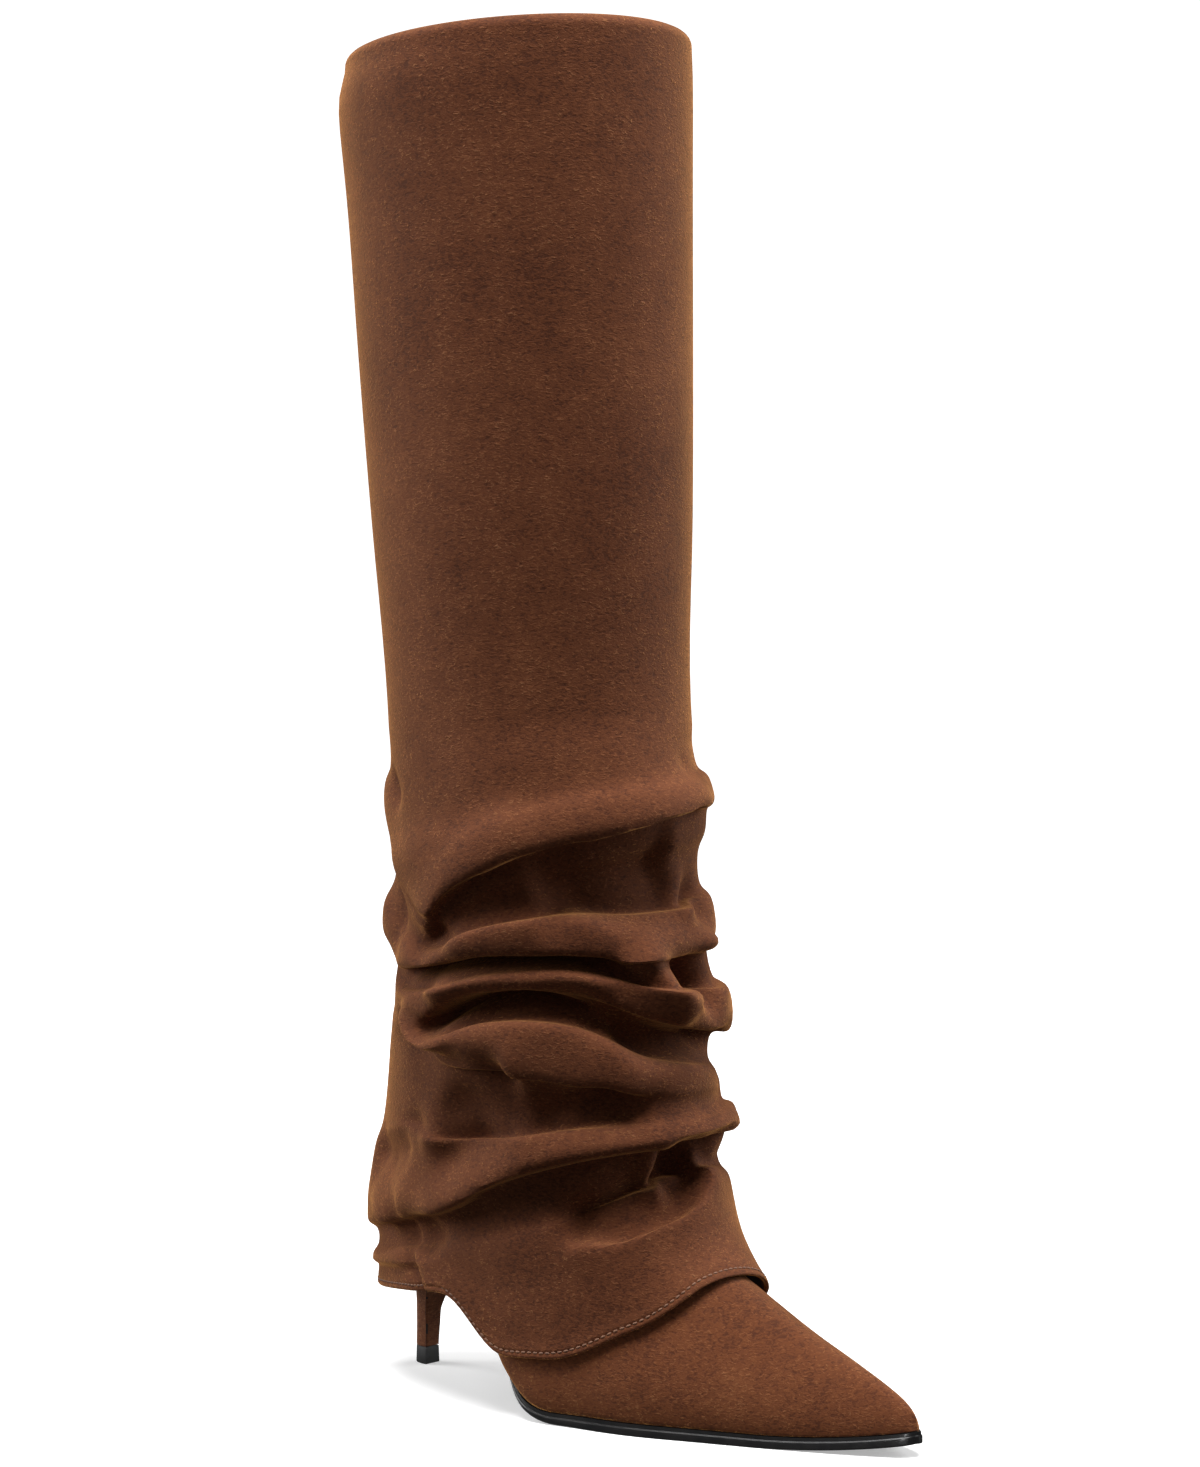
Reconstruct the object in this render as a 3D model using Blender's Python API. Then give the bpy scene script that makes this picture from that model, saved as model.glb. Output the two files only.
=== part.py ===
"""A right fold-over dress boot in suede, with a pointed toe and a stiletto heel.

The boot stands on the floor at Z = 0, with its toe along -Y and its outer side along -X. The origin is on the
floor under the ball of the foot. Sizes are in millimetres, and MM turns them into Blender's metres.

Angles round the leg are in degrees: 0 is the front, 90 the outer side, 180 the back and 270 the inner side.
"""
import math
from typing import NamedTuple

import bmesh
import bpy
import numpy as np

MM = 0.001
GAP = 0.3
WALL = 1.8

# Driving sizes of the sole and heel
TOE_TIP = -84.0
SEAT_BACK = 143.0
TOE_BREAK = -35.0
TOE_SPRING = 4.5
TREAD_BACK = 34.0
SEAT_FRONT = 107.0
SEAT_FRONT_HEIGHT = 43.3
SEAT_SLOPE = 0.42
SOLE_FOREFOOT = 4.0
SOLE_WAIST = 2.8
SOLE_EDGE = 1.2
RAND_INSET = 0.7
RAND_HEIGHT = 1.3
TREAD_CHAMFER = 0.5
TOE_SWING = 3.0
INSOLE = 2.2
INSOLE_CLEARANCE = 1.3
INSOLE_LEAST_HALF = 7.0
LIFT = 6.2

# Driving sizes of the leg
COLLAR_FRONT = 475.8
COLLAR_BACK = 467.4
ROLL_RADIUS = 4.0
LIP_DROP = 2.0
LIP_GAP = 0.6
HEM_BAND = 6.5
HEM_STEP = 0.7
HEM_DIP = 8.5
HEM_DIP_ANGLE = 86.0
HEM_DIP_REACH = 8.0
ROLL_RATE = 0.27
ROLL_MOST = 3.4
NOSE_POWER = 4

# How finely the surfaces are cut
FOOT_HALF_POINTS = 10
ROWS_PER_SECTION = 2
SHAFT_COLUMNS = 44
FOLD_STEPS = 2
ROLL_STEPS = 5
STRAIGHT_STEPS = 5
HEEL_ARC_POINTS = 14
MERGE = 0.01
SHARP_ANGLE = 40.0


class FootRow(NamedTuple):
    """One slanted section of the last, from the sole up to the ridge."""

    sole_y: float
    ridge_y: float
    ridge_z: float
    inner: float  # half width on the sole, big-toe side
    outer: float  # half width on the sole, little-toe side
    swell: float  # how far the side's handle stands out past the sole
    share: float  # height of that handle, as a share of the section
    ridge: float  # length of the handle that rounds the ridge


class LegRow(NamedTuple):
    """One slanted ring of the fitted inner leg, from its back to its front."""

    back_y: float
    back_z: float
    front_y: float
    front_z: float
    half: float


class MouldRow(NamedTuple):
    """One level ring of the smooth shape that the shaft's folds stand on."""

    z: float
    front: float
    back: float
    half: float
    egg: float  # above zero the front is the wider end, below zero the back
    nose: float = 0.0  # how much further the middle of the front reaches


class HeelRow(NamedTuple):
    """One slanted ring of the heel, a half ellipse behind a flat breast."""

    breast_y: float
    breast_z: float
    back_y: float
    back_z: float
    half: float


FOOT = (
    FootRow(-84.0, -83.4, 13.0, 0.0, 0.0, 0.0, 0.35, 0.0),
    FootRow(-82.5, -79.5, 16.6, 3.0, 3.0, 1.0, 0.35, 2.5),
    FootRow(-77.0, -72.5, 20.8, 6.2, 6.2, 1.5, 0.35, 5.0),
    FootRow(-63.0, -57.0, 28.0, 11.8, 12.0, 2.5, 0.35, 8.0),
    FootRow(-42.0, -36.0, 36.7, 20.5, 20.0, 4.5, 0.35, 12.0),
    FootRow(-19.0, -13.0, 47.5, 29.5, 28.0, 6.0, 0.35, 16.0),
    FootRow(5.0, 9.0, 59.0, 33.5, 36.5, 6.5, 0.35, 19.0),
    FootRow(26.0, 24.0, 69.0, 30.5, 40.5, 7.0, 0.32, 21.0),
    FootRow(46.0, 34.0, 81.0, 23.0, 43.5, 9.0, 0.10, 24.0),
    FootRow(63.0, 40.0, 93.0, 17.0, 34.0, 26.0, 0.02, 27.0),
    FootRow(82.0, 43.5, 105.5, 16.0, 20.0, 32.0, 0.20, 31.0),
    FootRow(101.0, 45.0, 118.0, 20.5, 21.5, 21.0, 0.42, 34.0),
    FootRow(118.0, 45.0, 128.0, 24.5, 24.5, 17.0, 0.42, 37.0),
    FootRow(131.0, 44.5, 136.5, 21.0, 21.0, 20.0, 0.38, 38.0),
    FootRow(139.0, 44.0, 143.0, 13.0, 13.0, 28.0, 0.30, 39.0),
    FootRow(143.0, 43.5, 149.0, 0.0, 0.0, 40.0, 0.10, 40.0),
)

LEG = (
    LegRow(144.0, 77.0, 42.5, 157.0, 30.0),
    LegRow(140.5, 101.0, 40.5, 170.0, 31.0),
    LegRow(132.5, 136.0, 38.0, 190.0, 32.5),
    LegRow(126.0, 180.0, 36.0, 217.0, 35.0),
    LegRow(122.5, 237.0, 34.5, 263.0, 40.0),
    LegRow(131.0, 330.0, 34.0, 350.0, 46.5),
)

MOULD = (
    MouldRow(500.0, 27.5, 157.0, 59.5, 0.0),
    MouldRow(462.0, 26.9, 154.2, 58.5, 0.0),
    MouldRow(400.0, 25.9, 151.0, 57.0, 0.0),
    MouldRow(300.0, 25.2, 141.5, 54.0, 0.0),
    MouldRow(240.0, 25.4, 135.0, 51.5, 0.0),
    MouldRow(205.0, 18.0, 137.0, 51.5, 0.03),
    MouldRow(180.0, 18.5, 136.0, 51.3, 0.05),
    MouldRow(160.0, 16.5, 137.0, 51.0, 0.08),
    MouldRow(140.0, 13.0, 138.0, 50.5, 0.10),
    MouldRow(120.0, 12.0, 141.0, 50.0, 0.12),
    MouldRow(100.0, 9.0, 144.0, 49.0, 0.14),
    MouldRow(80.0, 7.0, 145.8, 48.0, 0.14),
    MouldRow(60.0, 0.0, 149.0, 47.0, 0.12, 1.5),
    MouldRow(45.0, -9.0, 150.0, 46.5, 0.08, 6.5),
    MouldRow(33.0, -14.6, 149.3, 46.0, 0.05, 7.0),
    MouldRow(15.0, -22.0, 148.5, 45.0, 0.05, 7.0),
)

HEEL = (
    HeelRow(118.0, 36.0, 141.8, 48.0, 15.0),
    HeelRow(128.5, 29.0, 141.0, 36.0, 7.6),
    HeelRow(132.4, 21.5, 140.4, 26.0, 4.5),
    HeelRow(133.0, 14.0, 140.4, 16.0, 3.7),
    HeelRow(133.4, LIFT + GAP, 140.6, LIFT + GAP, 3.4),
)
HEEL_TOP_BREAST = 110.0
HEEL_TOP_BACK = 142.6
HEEL_TOP_HALF = 22.0
LIFT_FLARE = 0.15

# The angles at which each line of the folds is given
ANCHORS = (-70, -40, -15, 15, 45, 75, 95, 115, 140, 180, 225, 260)


class FoldLine(NamedTuple):
    """A crest, or the gap below one, round the shaft: a value for each angle in ANCHORS."""

    heights: tuple
    offsets: tuple  # outwards from the mould


FOLDS = {
    "smooth_leg": FoldLine(
        (238, 238, 238, 240, 240, 238, 236, 236, 238, 238, 238, 238),
        (0, 0, 0, 0, 0, 0, 0, 0, 0, 0, 0, 0),
    ),
    "pinch": FoldLine(
        (224, 225, 225, 224, 221, 214, 205, 212, 223, 224, 222, 222),
        (-1, -1.5, -1, 0.5, 1, 1, 0.5, 0, -1, -1, -0.5, -0.5),
    ),
    "brow_crest": FoldLine(
        (211, 211, 209, 205.5, 200.5, 188.5, 173, 184, 207, 208, 205, 208),
        (3, 3.5, 4, 5, 5, 4, 3, 0.5, 1.5, 2, 4, 3),
    ),
    "brow_underside": FoldLine(
        (201, 202, 201, 197, 192, 182, 168, 178, 199, 200, 197, 200),
        (0, 0, -5, -8, -7, -3, 0, 0, 0, 0, -1, 0),
    ),
    "brow_gap": FoldLine(
        (186, 186, 183, 180, 179, 173, 162.5, 168, 184, 186, 183, 185),
        (-3, -3, -8.5, -12, -11, -6, -2, -1, -2, -1.5, -4, -4),
    ),
    "upper_roll": FoldLine(
        (166, 166, 162, 162.5, 165, 160.5, 155.5, 154, 165, 166, 165, 166),
        (2, 2.5, 2, 2, 3, 3.5, 3.5, 2.5, 1.5, 1.5, 3, 2),
    ),
    "upper_roll_gap": FoldLine(
        (155, 155, 152, 151, 156, 153.5, 149.5, 145, 151, 152, 152, 154),
        (-3, -2, -4.5, -6, -9, -7.5, -3.5, -2.5, -2, -1.5, -3, -3),
    ),
    "inner_strip": FoldLine(
        (137, 134, 137, 144, 150.5, 148.5, 141, 140, 142, 140, 140, 139),
        (2, 5, 5.5, 3, -4.5, -2, 3, 2, -1, 0, 2, 2),
    ),
    "inner_strip_gap": FoldLine(
        (124, 120, 125, 131, 143, 141, 132, 136.5, 136, 128, 127, 126),
        (-3, -4, -6, -9, -9.5, -7, -0.5, 1.5, -1, -1.5, -3, -3),
    ),
    "broad_band": FoldLine(
        (112, 111, 112, 115.5, 127, 129, 125.5, 132.5, 130, 118, 115, 113),
        (2, -1.5, 0, 2.5, 4.5, 4.5, 4, 1.5, -0.5, 0.5, 2, 2),
    ),
    "broad_band_gap": FoldLine(
        (104, 106, 106, 106, 106.5, 107, 112, 123, 119, 106, 103, 103),
        (-3, -2, -1.5, -0.5, -4, -5, -2.5, -1.5, -0.5, -0.5, -3, -3),
    ),
    "slanting_ridge": FoldLine(
        (96, 99.5, 99, 97.5, 94, 83, 74, 67.5, 60, 56, 72, 90),
        (2, 3.5, 3, 3, 4, 4.5, 4.5, 4.5, 4.5, 5, 3, 2),
    ),
    "slanting_ridge_gap": FoldLine(
        (83, 86, 88, 85, 81, 72, 63, 56, 50, 46, 60, 76),
        (-2.5, -2.5, -8, -11, -6, -3.5, -3, -3.5, -1, 0, -2, -2),
    ),
    "cuff_crest": FoldLine(
        (68, 73, 78, 72, 62, 53, 51, 47, 42.5, 39, 47, 58),
        (1, 1, 0.5, 1.5, 1, 0.5, 0.5, 1.5, 2, 2, 1, 1),
    ),
    "hem": FoldLine(
        (32, 37, 48.4, 49.2, 34, 23.5, 39, 36.5, 33, 30, 27, 27),
        (0, 0, 0, 0, 0.5, 2, 1.5, 0, 0, 0, 0, 0),
    ),
}


def hermite(start, end, leave, arrive, t):
    """Cubic from start to end, with the tangents that it leaves and arrives by."""
    rise = t * t * (3.0 - 2.0 * t)
    leave_share = t * (1.0 - t) ** 2
    arrive_share = t * t * (t - 1.0)
    return start + (end - start) * rise + leave * leave_share + arrive * arrive_share


def spline(knots, values, at):
    """Smooth curve through rows of values, read at the places in at."""
    knots = np.asarray(knots, float)
    values = np.asarray(values, float)
    at = np.asarray(at, float)
    slopes = np.gradient(values, knots, axis=0)
    first = np.clip(np.searchsorted(knots, at, side="right") - 1, 0, len(knots) - 2)
    shape = at.shape + (1,) * (values.ndim - 1)
    step = (knots[first + 1] - knots[first]).reshape(shape)
    t = (at - knots[first]).reshape(shape) / step
    return hermite(values[first], values[first + 1], slopes[first] * step, slopes[first + 1] * step, t)


def round_the_leg(values, angles):
    """Values given at ANCHORS, smooth and closed round the leg, read at the angles."""
    first = ANCHORS[0]
    knots = np.array([a - 360 for a in ANCHORS[-2:]] + list(ANCHORS) + [a + 360 for a in ANCHORS[:2]])
    rows = np.array(values[-2:] + values + values[:2], float)
    return spline(knots, rows, (np.asarray(angles, float) - first) % 360 + first)


def tread(y):
    """Height of the sole's underside: toe spring, flat tread, rising shank, straight heel seat."""
    y = np.asarray(y, float)
    toe = TOE_SPRING * np.clip((TOE_BREAK - y) / (TOE_BREAK - TOE_TIP), 0.0, None) ** 2
    span = SEAT_FRONT - TREAD_BACK
    t = np.clip((y - TREAD_BACK) / span, 0.0, 1.0)
    shank = hermite(0.0, SEAT_FRONT_HEIGHT, 0.0, SEAT_SLOPE * span, t)
    seat = SEAT_SLOPE * np.clip(y - SEAT_FRONT, 0.0, None)
    return toe + shank + seat


def slant(y):
    """Length of the sole's run for each millimetre along Y, so that its thickness stays square to it."""
    reach = 0.5
    return np.hypot(1.0, (tread(y + reach) - tread(y - reach)) / (2.0 * reach))


def sole_top(y):
    """Height of the sole's upper face, where the upper stands."""
    waist = np.clip((np.asarray(y, float) - TREAD_BACK) / (SEAT_FRONT - TREAD_BACK), 0.0, 1.0)
    return tread(y) + (SOLE_FOREFOOT + (SOLE_WAIST - SOLE_FOREFOOT) * waist) * slant(y)


def feather(y):
    """Height of the upper's lower edge."""
    return sole_top(y) + GAP * slant(y)


def swing(y):
    """How far the middle of the foot turns inwards towards the toe tip."""
    return TOE_SWING * np.clip(y / TOE_TIP, 0.0, None) ** 2


def sole_stations():
    """Places along the sole and the foot's half widths there: y, outer, inner."""
    columns = [(row.sole_y, row.outer, row.inner) for row in FOOT]
    steps = np.linspace(0.0, len(FOOT) - 1, ROWS_PER_SECTION * (len(FOOT) - 1) + 1)
    return spline(np.arange(len(FOOT)), columns, steps)


def foot_section(row):
    """Points over the foot at one section, from the outer feather edge over the ridge to the inner one."""
    t = np.linspace(0.0, 1.0, FOOT_HALF_POINTS)
    low, side, crown = 3 * t * (1 - t) ** 2, 3 * t * t * (1 - t), t**3
    up = row.share * low + side + crown
    points = []
    for half, sign in ((row.outer, -1.0), (row.inner, 1.0)):
        across = half * (1 - t) ** 3 + (half + row.swell) * low + row.ridge * side
        points.append(np.stack([sign * across, up], axis=-1))
    loop = np.concatenate([points[0], points[1][-2::-1]])
    base = np.array([swing(row.sole_y), row.sole_y, feather(row.sole_y)])
    top = np.array([swing(row.ridge_y), row.ridge_y, row.ridge_z])
    return base + loop[:, 1:] * (top - base) + loop[:, :1] * np.array([1.0, 0.0, 0.0])


def leg_section(row):
    """Points round the leg at one ring, from the back over the outer side and front to the back again."""
    angle = np.linspace(0.0, 2.0 * math.pi, 2 * FOOT_HALF_POINTS - 1)
    share = (1.0 - np.cos(angle)) / 2.0
    y = row.back_y + (row.front_y - row.back_y) * share
    z = row.back_z + (row.front_z - row.back_z) * share
    return np.stack([-row.half * np.sin(angle), y, z], axis=-1)


def collar_height(angles):
    """Top of the rolled collar, higher at the front."""
    middle = (COLLAR_FRONT + COLLAR_BACK) / 2.0
    return middle + (COLLAR_FRONT - COLLAR_BACK) / 2.0 * np.cos(np.radians(angles))


def leg_rim():
    """The inner leg's top ring, straight below the collar's lip."""
    inset = 2.0 * ROLL_RADIUS - WALL
    drop = ROLL_RADIUS + LIP_DROP + LIP_GAP
    front = mould_point(0.0, COLLAR_FRONT)
    back = mould_point(180.0, COLLAR_BACK)
    side = mould_point(90.0, collar_height(90.0))
    return LegRow(
        back[1] - inset, COLLAR_BACK - drop, front[1] + inset, COLLAR_FRONT - drop, -side[0] - inset
    )


def mould_point(angles, heights):
    """Points on the shaft's smooth mould."""
    levels = MOULD[::-1]
    columns = np.array([row[1:] for row in levels])
    front, back, half, egg, nose = np.moveaxis(spline([row.z for row in levels], columns, heights), -1, 0)
    turn = np.radians(angles)
    x = -half * np.sin(turn) * (1.0 + egg * np.cos(turn))
    y = (front + back) / 2.0 - (back - front) / 2.0 * np.cos(turn)
    y = y - nose * np.clip(np.cos(turn), 0.0, None) ** NOSE_POWER
    return np.stack([x, y, np.broadcast_to(heights, x.shape)], axis=-1)


def outwards(angles, heights):
    """Level unit vectors square to the mould's rings."""
    reach = 0.5
    along = mould_point(angles + reach, heights) - mould_point(angles - reach, heights)
    across = np.stack([-along[..., 1], along[..., 0], np.zeros_like(along[..., 0])], axis=-1)
    return across / np.linalg.norm(across, axis=-1, keepdims=True)


def fold_rows(angles):
    """Heights and offsets down the shaft, from the smooth leg over each fold to the hem's band."""
    lines = [
        (round_the_leg(line.heights, angles), round_the_leg(line.offsets, angles)) for line in FOLDS.values()
    ]
    hem_height, hem_offset = lines[-1]
    away = (angles - HEM_DIP_ANGLE + 180.0) % 360.0 - 180.0
    hem_height = hem_height - HEM_DIP * np.exp(-((away / HEM_DIP_REACH) ** 2))
    lines[-1] = (hem_height + HEM_BAND, hem_offset)
    rows = []
    for (high, above), (low, below) in zip(lines, lines[1:]):
        depth = np.abs(above - below)
        roll = np.minimum(1.0 + ROLL_RATE * depth, ROLL_MOST)
        run = (low - high) * roll
        for step in range(FOLD_STEPS):
            t = step / FOLD_STEPS
            rows.append((hermite(high, low, run, run, t), hermite(above, below, 0.0, 0.0, t)))
    rows.append(lines[-1])
    rows.append((hem_height + HEM_BAND - HEM_STEP, hem_offset + HEM_STEP))
    rows.append((hem_height, hem_offset + HEM_STEP))
    return rows


def collar_rows(angles):
    """Heights and offsets of the straight leg and the rolled collar, from the lip's end downwards."""
    middle = collar_height(angles) - ROLL_RADIUS
    inner = -2.0 * ROLL_RADIUS
    rows = [(middle - LIP_DROP, np.full_like(middle, inner))]
    for step in range(ROLL_STEPS + 1):
        turn = math.pi * (1.0 - step / ROLL_STEPS)
        offset = np.full_like(middle, ROLL_RADIUS * (math.cos(turn) - 1.0))
        rows.append((middle + ROLL_RADIUS * math.sin(turn), offset))
    folds_start = round_the_leg(FOLDS["smooth_leg"].heights, angles)
    for step in range(1, STRAIGHT_STEPS):
        rows.append((middle + (folds_start - middle) * step / STRAIGHT_STEPS, np.zeros_like(middle)))
    return rows


def shaft_points():
    """The shaft's outer surface as rows of points, from the collar's lip down to the hem."""
    angles = np.linspace(0.0, 360.0, SHAFT_COLUMNS + 1)
    rows = collar_rows(angles) + fold_rows(angles)
    heights = np.array([row[0] for row in rows])
    offsets = np.array([row[1] for row in rows])
    turns = np.broadcast_to(angles, heights.shape)
    return mould_point(turns, heights) + offsets[..., None] * outwards(turns, heights)


def upper_points():
    """The upper's outer surface as rows of points, from the toe tip over the heel seat to the leg's rim."""
    sections = [foot_section(row) for row in FOOT] + [leg_section(row) for row in LEG + (leg_rim(),)]
    knots = np.arange(len(sections))
    steps = np.linspace(0.0, knots[-1], ROWS_PER_SECTION * (len(sections) - 1) + 1)
    points = spline(knots, np.array(sections), steps)
    foot = points[: len(sole_stations())]
    up = (foot[:, :, 2:] - foot[:, :1, 2:]) / (foot[:, FOOT_HALF_POINTS - 1, None, 2:] - foot[:, :1, 2:])
    foot[:, :, 2:] += (feather(foot[:, :1, 1:2]) - foot[:, :1, 2:]) * (1.0 - up)
    leg = points[len(sole_stations()) - 1 :]
    leg[:, 0, 0] = 0.0
    leg[:, -1, 0] = 0.0
    return points


def make_material(name, colour, roughness):
    """A plain principled finish."""
    material = bpy.data.materials.new(name)
    material.use_nodes = True
    shader = material.node_tree.nodes["Principled BSDF"]
    shader.inputs["Base Color"].default_value = (*colour, 1.0)
    shader.inputs["Roughness"].default_value = roughness
    shader.inputs["Metallic"].default_value = 0.0
    return material


def make_object(name, bm, material):
    """Turns a finished bmesh into a named, smooth-shaded object."""
    mesh = bpy.data.meshes.new(name)
    bm.to_mesh(mesh)
    bm.free()
    mesh.shade_smooth()
    mesh.set_sharp_from_angle(angle=math.radians(SHARP_ANGLE))
    mesh.materials.append(material)
    obj = bpy.data.objects.new(name, mesh)
    bpy.context.scene.collection.objects.link(obj)
    return obj


def grid_surface(points):
    """A grid bent to rows of points, with the edges that meet merged."""
    rows, columns = points.shape[:2]
    bm = bmesh.new()
    bmesh.ops.create_grid(bm, x_segments=columns - 1, y_segments=rows - 1, size=1.0)
    for vert, point in zip(bm.verts, points.reshape(-1, 3) * MM):
        vert.co = point
    bmesh.ops.remove_doubles(bm, verts=bm.verts, dist=MERGE * MM)
    return bm


def capped_loft(rings):
    """A closed solid through rings of points, with a flat face at each end."""
    rings = np.asarray(rings, float)
    bm = grid_surface(np.concatenate([rings, rings[:, :1]], axis=1))
    bmesh.ops.holes_fill(bm, edges=[edge for edge in bm.edges if edge.is_boundary])
    bmesh.ops.recalc_face_normals(bm, faces=bm.faces)
    return bm


def make_shell(name, points, material):
    """A leather wall of WALL thickness behind an outer surface."""
    bm = grid_surface(points)
    obj = make_object(name, bm, material)
    wall = obj.modifiers.new("wall", "SOLIDIFY")
    wall.thickness = WALL * MM
    wall.offset = -1.0
    wall.use_quality_normals = True
    return obj


def make_outsole(material):
    """The sole: full length, with a narrower rand along its top and a small chamfer at the tread."""
    tip = RAND_INSET - SOLE_EDGE + GAP
    ends = [(TOE_TIP - SOLE_EDGE, tip, tip)], [(SEAT_BACK + SOLE_EDGE, tip, tip)]
    rings = []
    for y, outer, inner in np.concatenate([ends[0], sole_stations(), ends[1]]):
        low, high = tread(y), sole_top(y)
        left = -(outer + SOLE_EDGE)
        right = inner + SOLE_EDGE
        step = high - RAND_HEIGHT
        profile = (
            (left + RAND_INSET, high),
            (left + RAND_INSET, step),
            (left, step - RAND_INSET),
            (left, low + TREAD_CHAMFER),
            (left + TREAD_CHAMFER, low),
            (right - TREAD_CHAMFER, low),
            (right, low + TREAD_CHAMFER),
            (right, step - RAND_INSET),
            (right - RAND_INSET, step),
            (right - RAND_INSET, high),
        )
        rings.append([(swing(y) + x, y, z) for x, z in profile])
    return make_object("outsole", capped_loft(rings), material)


def make_insole(material):
    """The board inside the upper, resting on the sole."""
    places = sole_stations()
    slopes = np.gradient(places[:, 1:], places[:, 0], axis=0)
    halves = places[:, 1:] - (WALL + INSOLE_CLEARANCE) * np.hypot(1.0, slopes)
    rings = []
    for y, outer, inner in np.column_stack([places[:, 0], halves]):
        if min(outer, inner) < INSOLE_LEAST_HALF:
            continue
        low = feather(y)
        high = low + INSOLE * slant(y)
        corners = ((-outer, low), (inner, low), (inner, high), (-outer, high))
        rings.append([(swing(y) + x, y, z) for x, z in corners])
    return make_object("insole", capped_loft(rings), material)


def heel_ring(row):
    """Points round one ring, from the inner breast corner over the back to the outer one."""
    turn = np.linspace(0.0, math.pi, HEEL_ARC_POINTS)
    share = np.sin(turn)
    y = row.breast_y + (row.back_y - row.breast_y) * share
    z = row.breast_z + (row.back_z - row.breast_z) * share
    return np.stack([row.half * np.cos(turn), y, z], axis=-1)


def make_heel(material):
    """The stiletto block, its top cut to the slope of the heel seat."""
    top = HeelRow(
        HEEL_TOP_BREAST,
        tread(HEEL_TOP_BREAST) - GAP,
        HEEL_TOP_BACK,
        tread(HEEL_TOP_BACK) - GAP,
        HEEL_TOP_HALF,
    )
    return make_object("heel", capped_loft([heel_ring(row) for row in (top,) + HEEL]), material)


def make_top_lift(material):
    """The wear piece under the heel, flat on the floor and a little wider there."""
    tip = HEEL[-1]
    top = tip._replace(breast_z=LIFT, back_z=LIFT)
    foot = HeelRow(tip.breast_y - LIFT_FLARE, 0.0, tip.back_y + LIFT_FLARE, 0.0, tip.half + LIFT_FLARE)
    return make_object("top_lift", capped_loft([heel_ring(top), heel_ring(foot)]), material)


def main():
    """Clears the scene and builds the boot."""
    for obj in list(bpy.data.objects):
        bpy.data.objects.remove(obj, do_unlink=True)
    suede = make_material("brown_suede", (0.13, 0.045, 0.018), 0.95)
    black = make_material("black_sole_leather", (0.006, 0.006, 0.007), 0.35)
    rubber = make_material("black_lift_rubber", (0.008, 0.008, 0.008), 0.5)
    lining = make_material("tan_lining", (0.30, 0.17, 0.09), 0.6)
    make_outsole(black)
    make_heel(suede)
    make_top_lift(rubber)
    make_insole(lining)
    make_shell("upper", upper_points(), suede)
    make_shell("shaft", shaft_points(), suede)


if __name__ == "__main__":
    main()
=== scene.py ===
"""Looks of a right fold-over dress boot: suede, lining, stitches, black sole, studio and camera.

The boot stands at Z = 0 with its toe along -Y and its outer side along -X. Sizes are in millimetres where
a name doesn't say otherwise, and MM turns them into metres. Angles round the leg are in degrees: 0 is the
front, 90 the outer side, 180 the back and 270 the inner side.
"""
from __future__ import annotations

import logging
import math
from dataclasses import dataclass
from enum import Enum
from typing import NamedTuple

import bmesh
import bpy
import numpy as np
from mathutils import Matrix, Vector

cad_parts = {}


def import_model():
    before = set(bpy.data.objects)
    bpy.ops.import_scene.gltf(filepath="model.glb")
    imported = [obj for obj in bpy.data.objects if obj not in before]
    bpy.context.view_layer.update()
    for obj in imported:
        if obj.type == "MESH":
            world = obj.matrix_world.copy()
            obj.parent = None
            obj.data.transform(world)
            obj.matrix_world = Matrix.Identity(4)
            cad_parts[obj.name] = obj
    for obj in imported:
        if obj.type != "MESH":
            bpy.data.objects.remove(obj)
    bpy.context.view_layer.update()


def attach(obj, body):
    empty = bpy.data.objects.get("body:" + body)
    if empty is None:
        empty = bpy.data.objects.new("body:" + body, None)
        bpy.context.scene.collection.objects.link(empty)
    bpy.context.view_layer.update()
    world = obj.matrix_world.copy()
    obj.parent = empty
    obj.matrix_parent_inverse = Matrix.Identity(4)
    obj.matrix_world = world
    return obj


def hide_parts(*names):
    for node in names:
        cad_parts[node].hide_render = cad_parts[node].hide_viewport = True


LOG = logging.getLogger("boot")
MM = 0.001
BODY = "root"
WHITE = (1.0, 1.0, 1.0, 1.0)
Array = np.ndarray
Colour = tuple[float, float, float]
Feed = bpy.types.NodeSocket | float | tuple


class FootRow(NamedTuple):
    """One slanted section of the last, from the sole up to the ridge."""

    sole_y: float
    ridge_y: float
    ridge_z: float
    inner: float
    outer: float
    swell: float
    share: float
    ridge: float


class LegRow(NamedTuple):
    """One slanted ring of the fitted inner leg, from its back to its front."""

    back_y: float
    back_z: float
    front_y: float
    front_z: float
    half: float


class MouldRow(NamedTuple):
    """One level ring of the smooth shape that the shaft's folds stand on."""

    z: float
    front: float
    back: float
    half: float
    egg: float
    nose: float = 0.0


class HeelRow(NamedTuple):
    """One slanted ring of the heel, a half ellipse behind a flat breast."""

    breast_y: float
    breast_z: float
    back_y: float
    back_z: float
    half: float


class FoldLine(NamedTuple):
    """A crest, or the gap below one, round the shaft: a value for each angle in ANCHORS."""

    heights: tuple
    offsets: tuple


class CreaseKind(Enum):
    """How the suede lies along a crease."""

    TROUGH = "sinks along the line"
    RIDGE = "rises along the line"
    HANG = "stands out on the path's left and hangs over a gap on its right"
    SHELF = "stands out on the path's right, under a hollow on its left"


class Crease(NamedTuple):
    """A crease, along a path of (angle, height) points.

    The left of a path that runs towards larger angles is the side above it. Out and dig are how far the
    suede moves outwards and inwards, left and right the reach on either side, and droop how far the edge
    hangs down.
    """

    kind: CreaseKind
    out: float
    dig: float
    left: float
    right: float
    droop: float
    path: tuple


def trough(dig: float, left: float, right: float, *path: tuple) -> Crease:
    """A crease that sinks."""
    return Crease(CreaseKind.TROUGH, 0.0, dig, left, right, 0.0, path)


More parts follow.
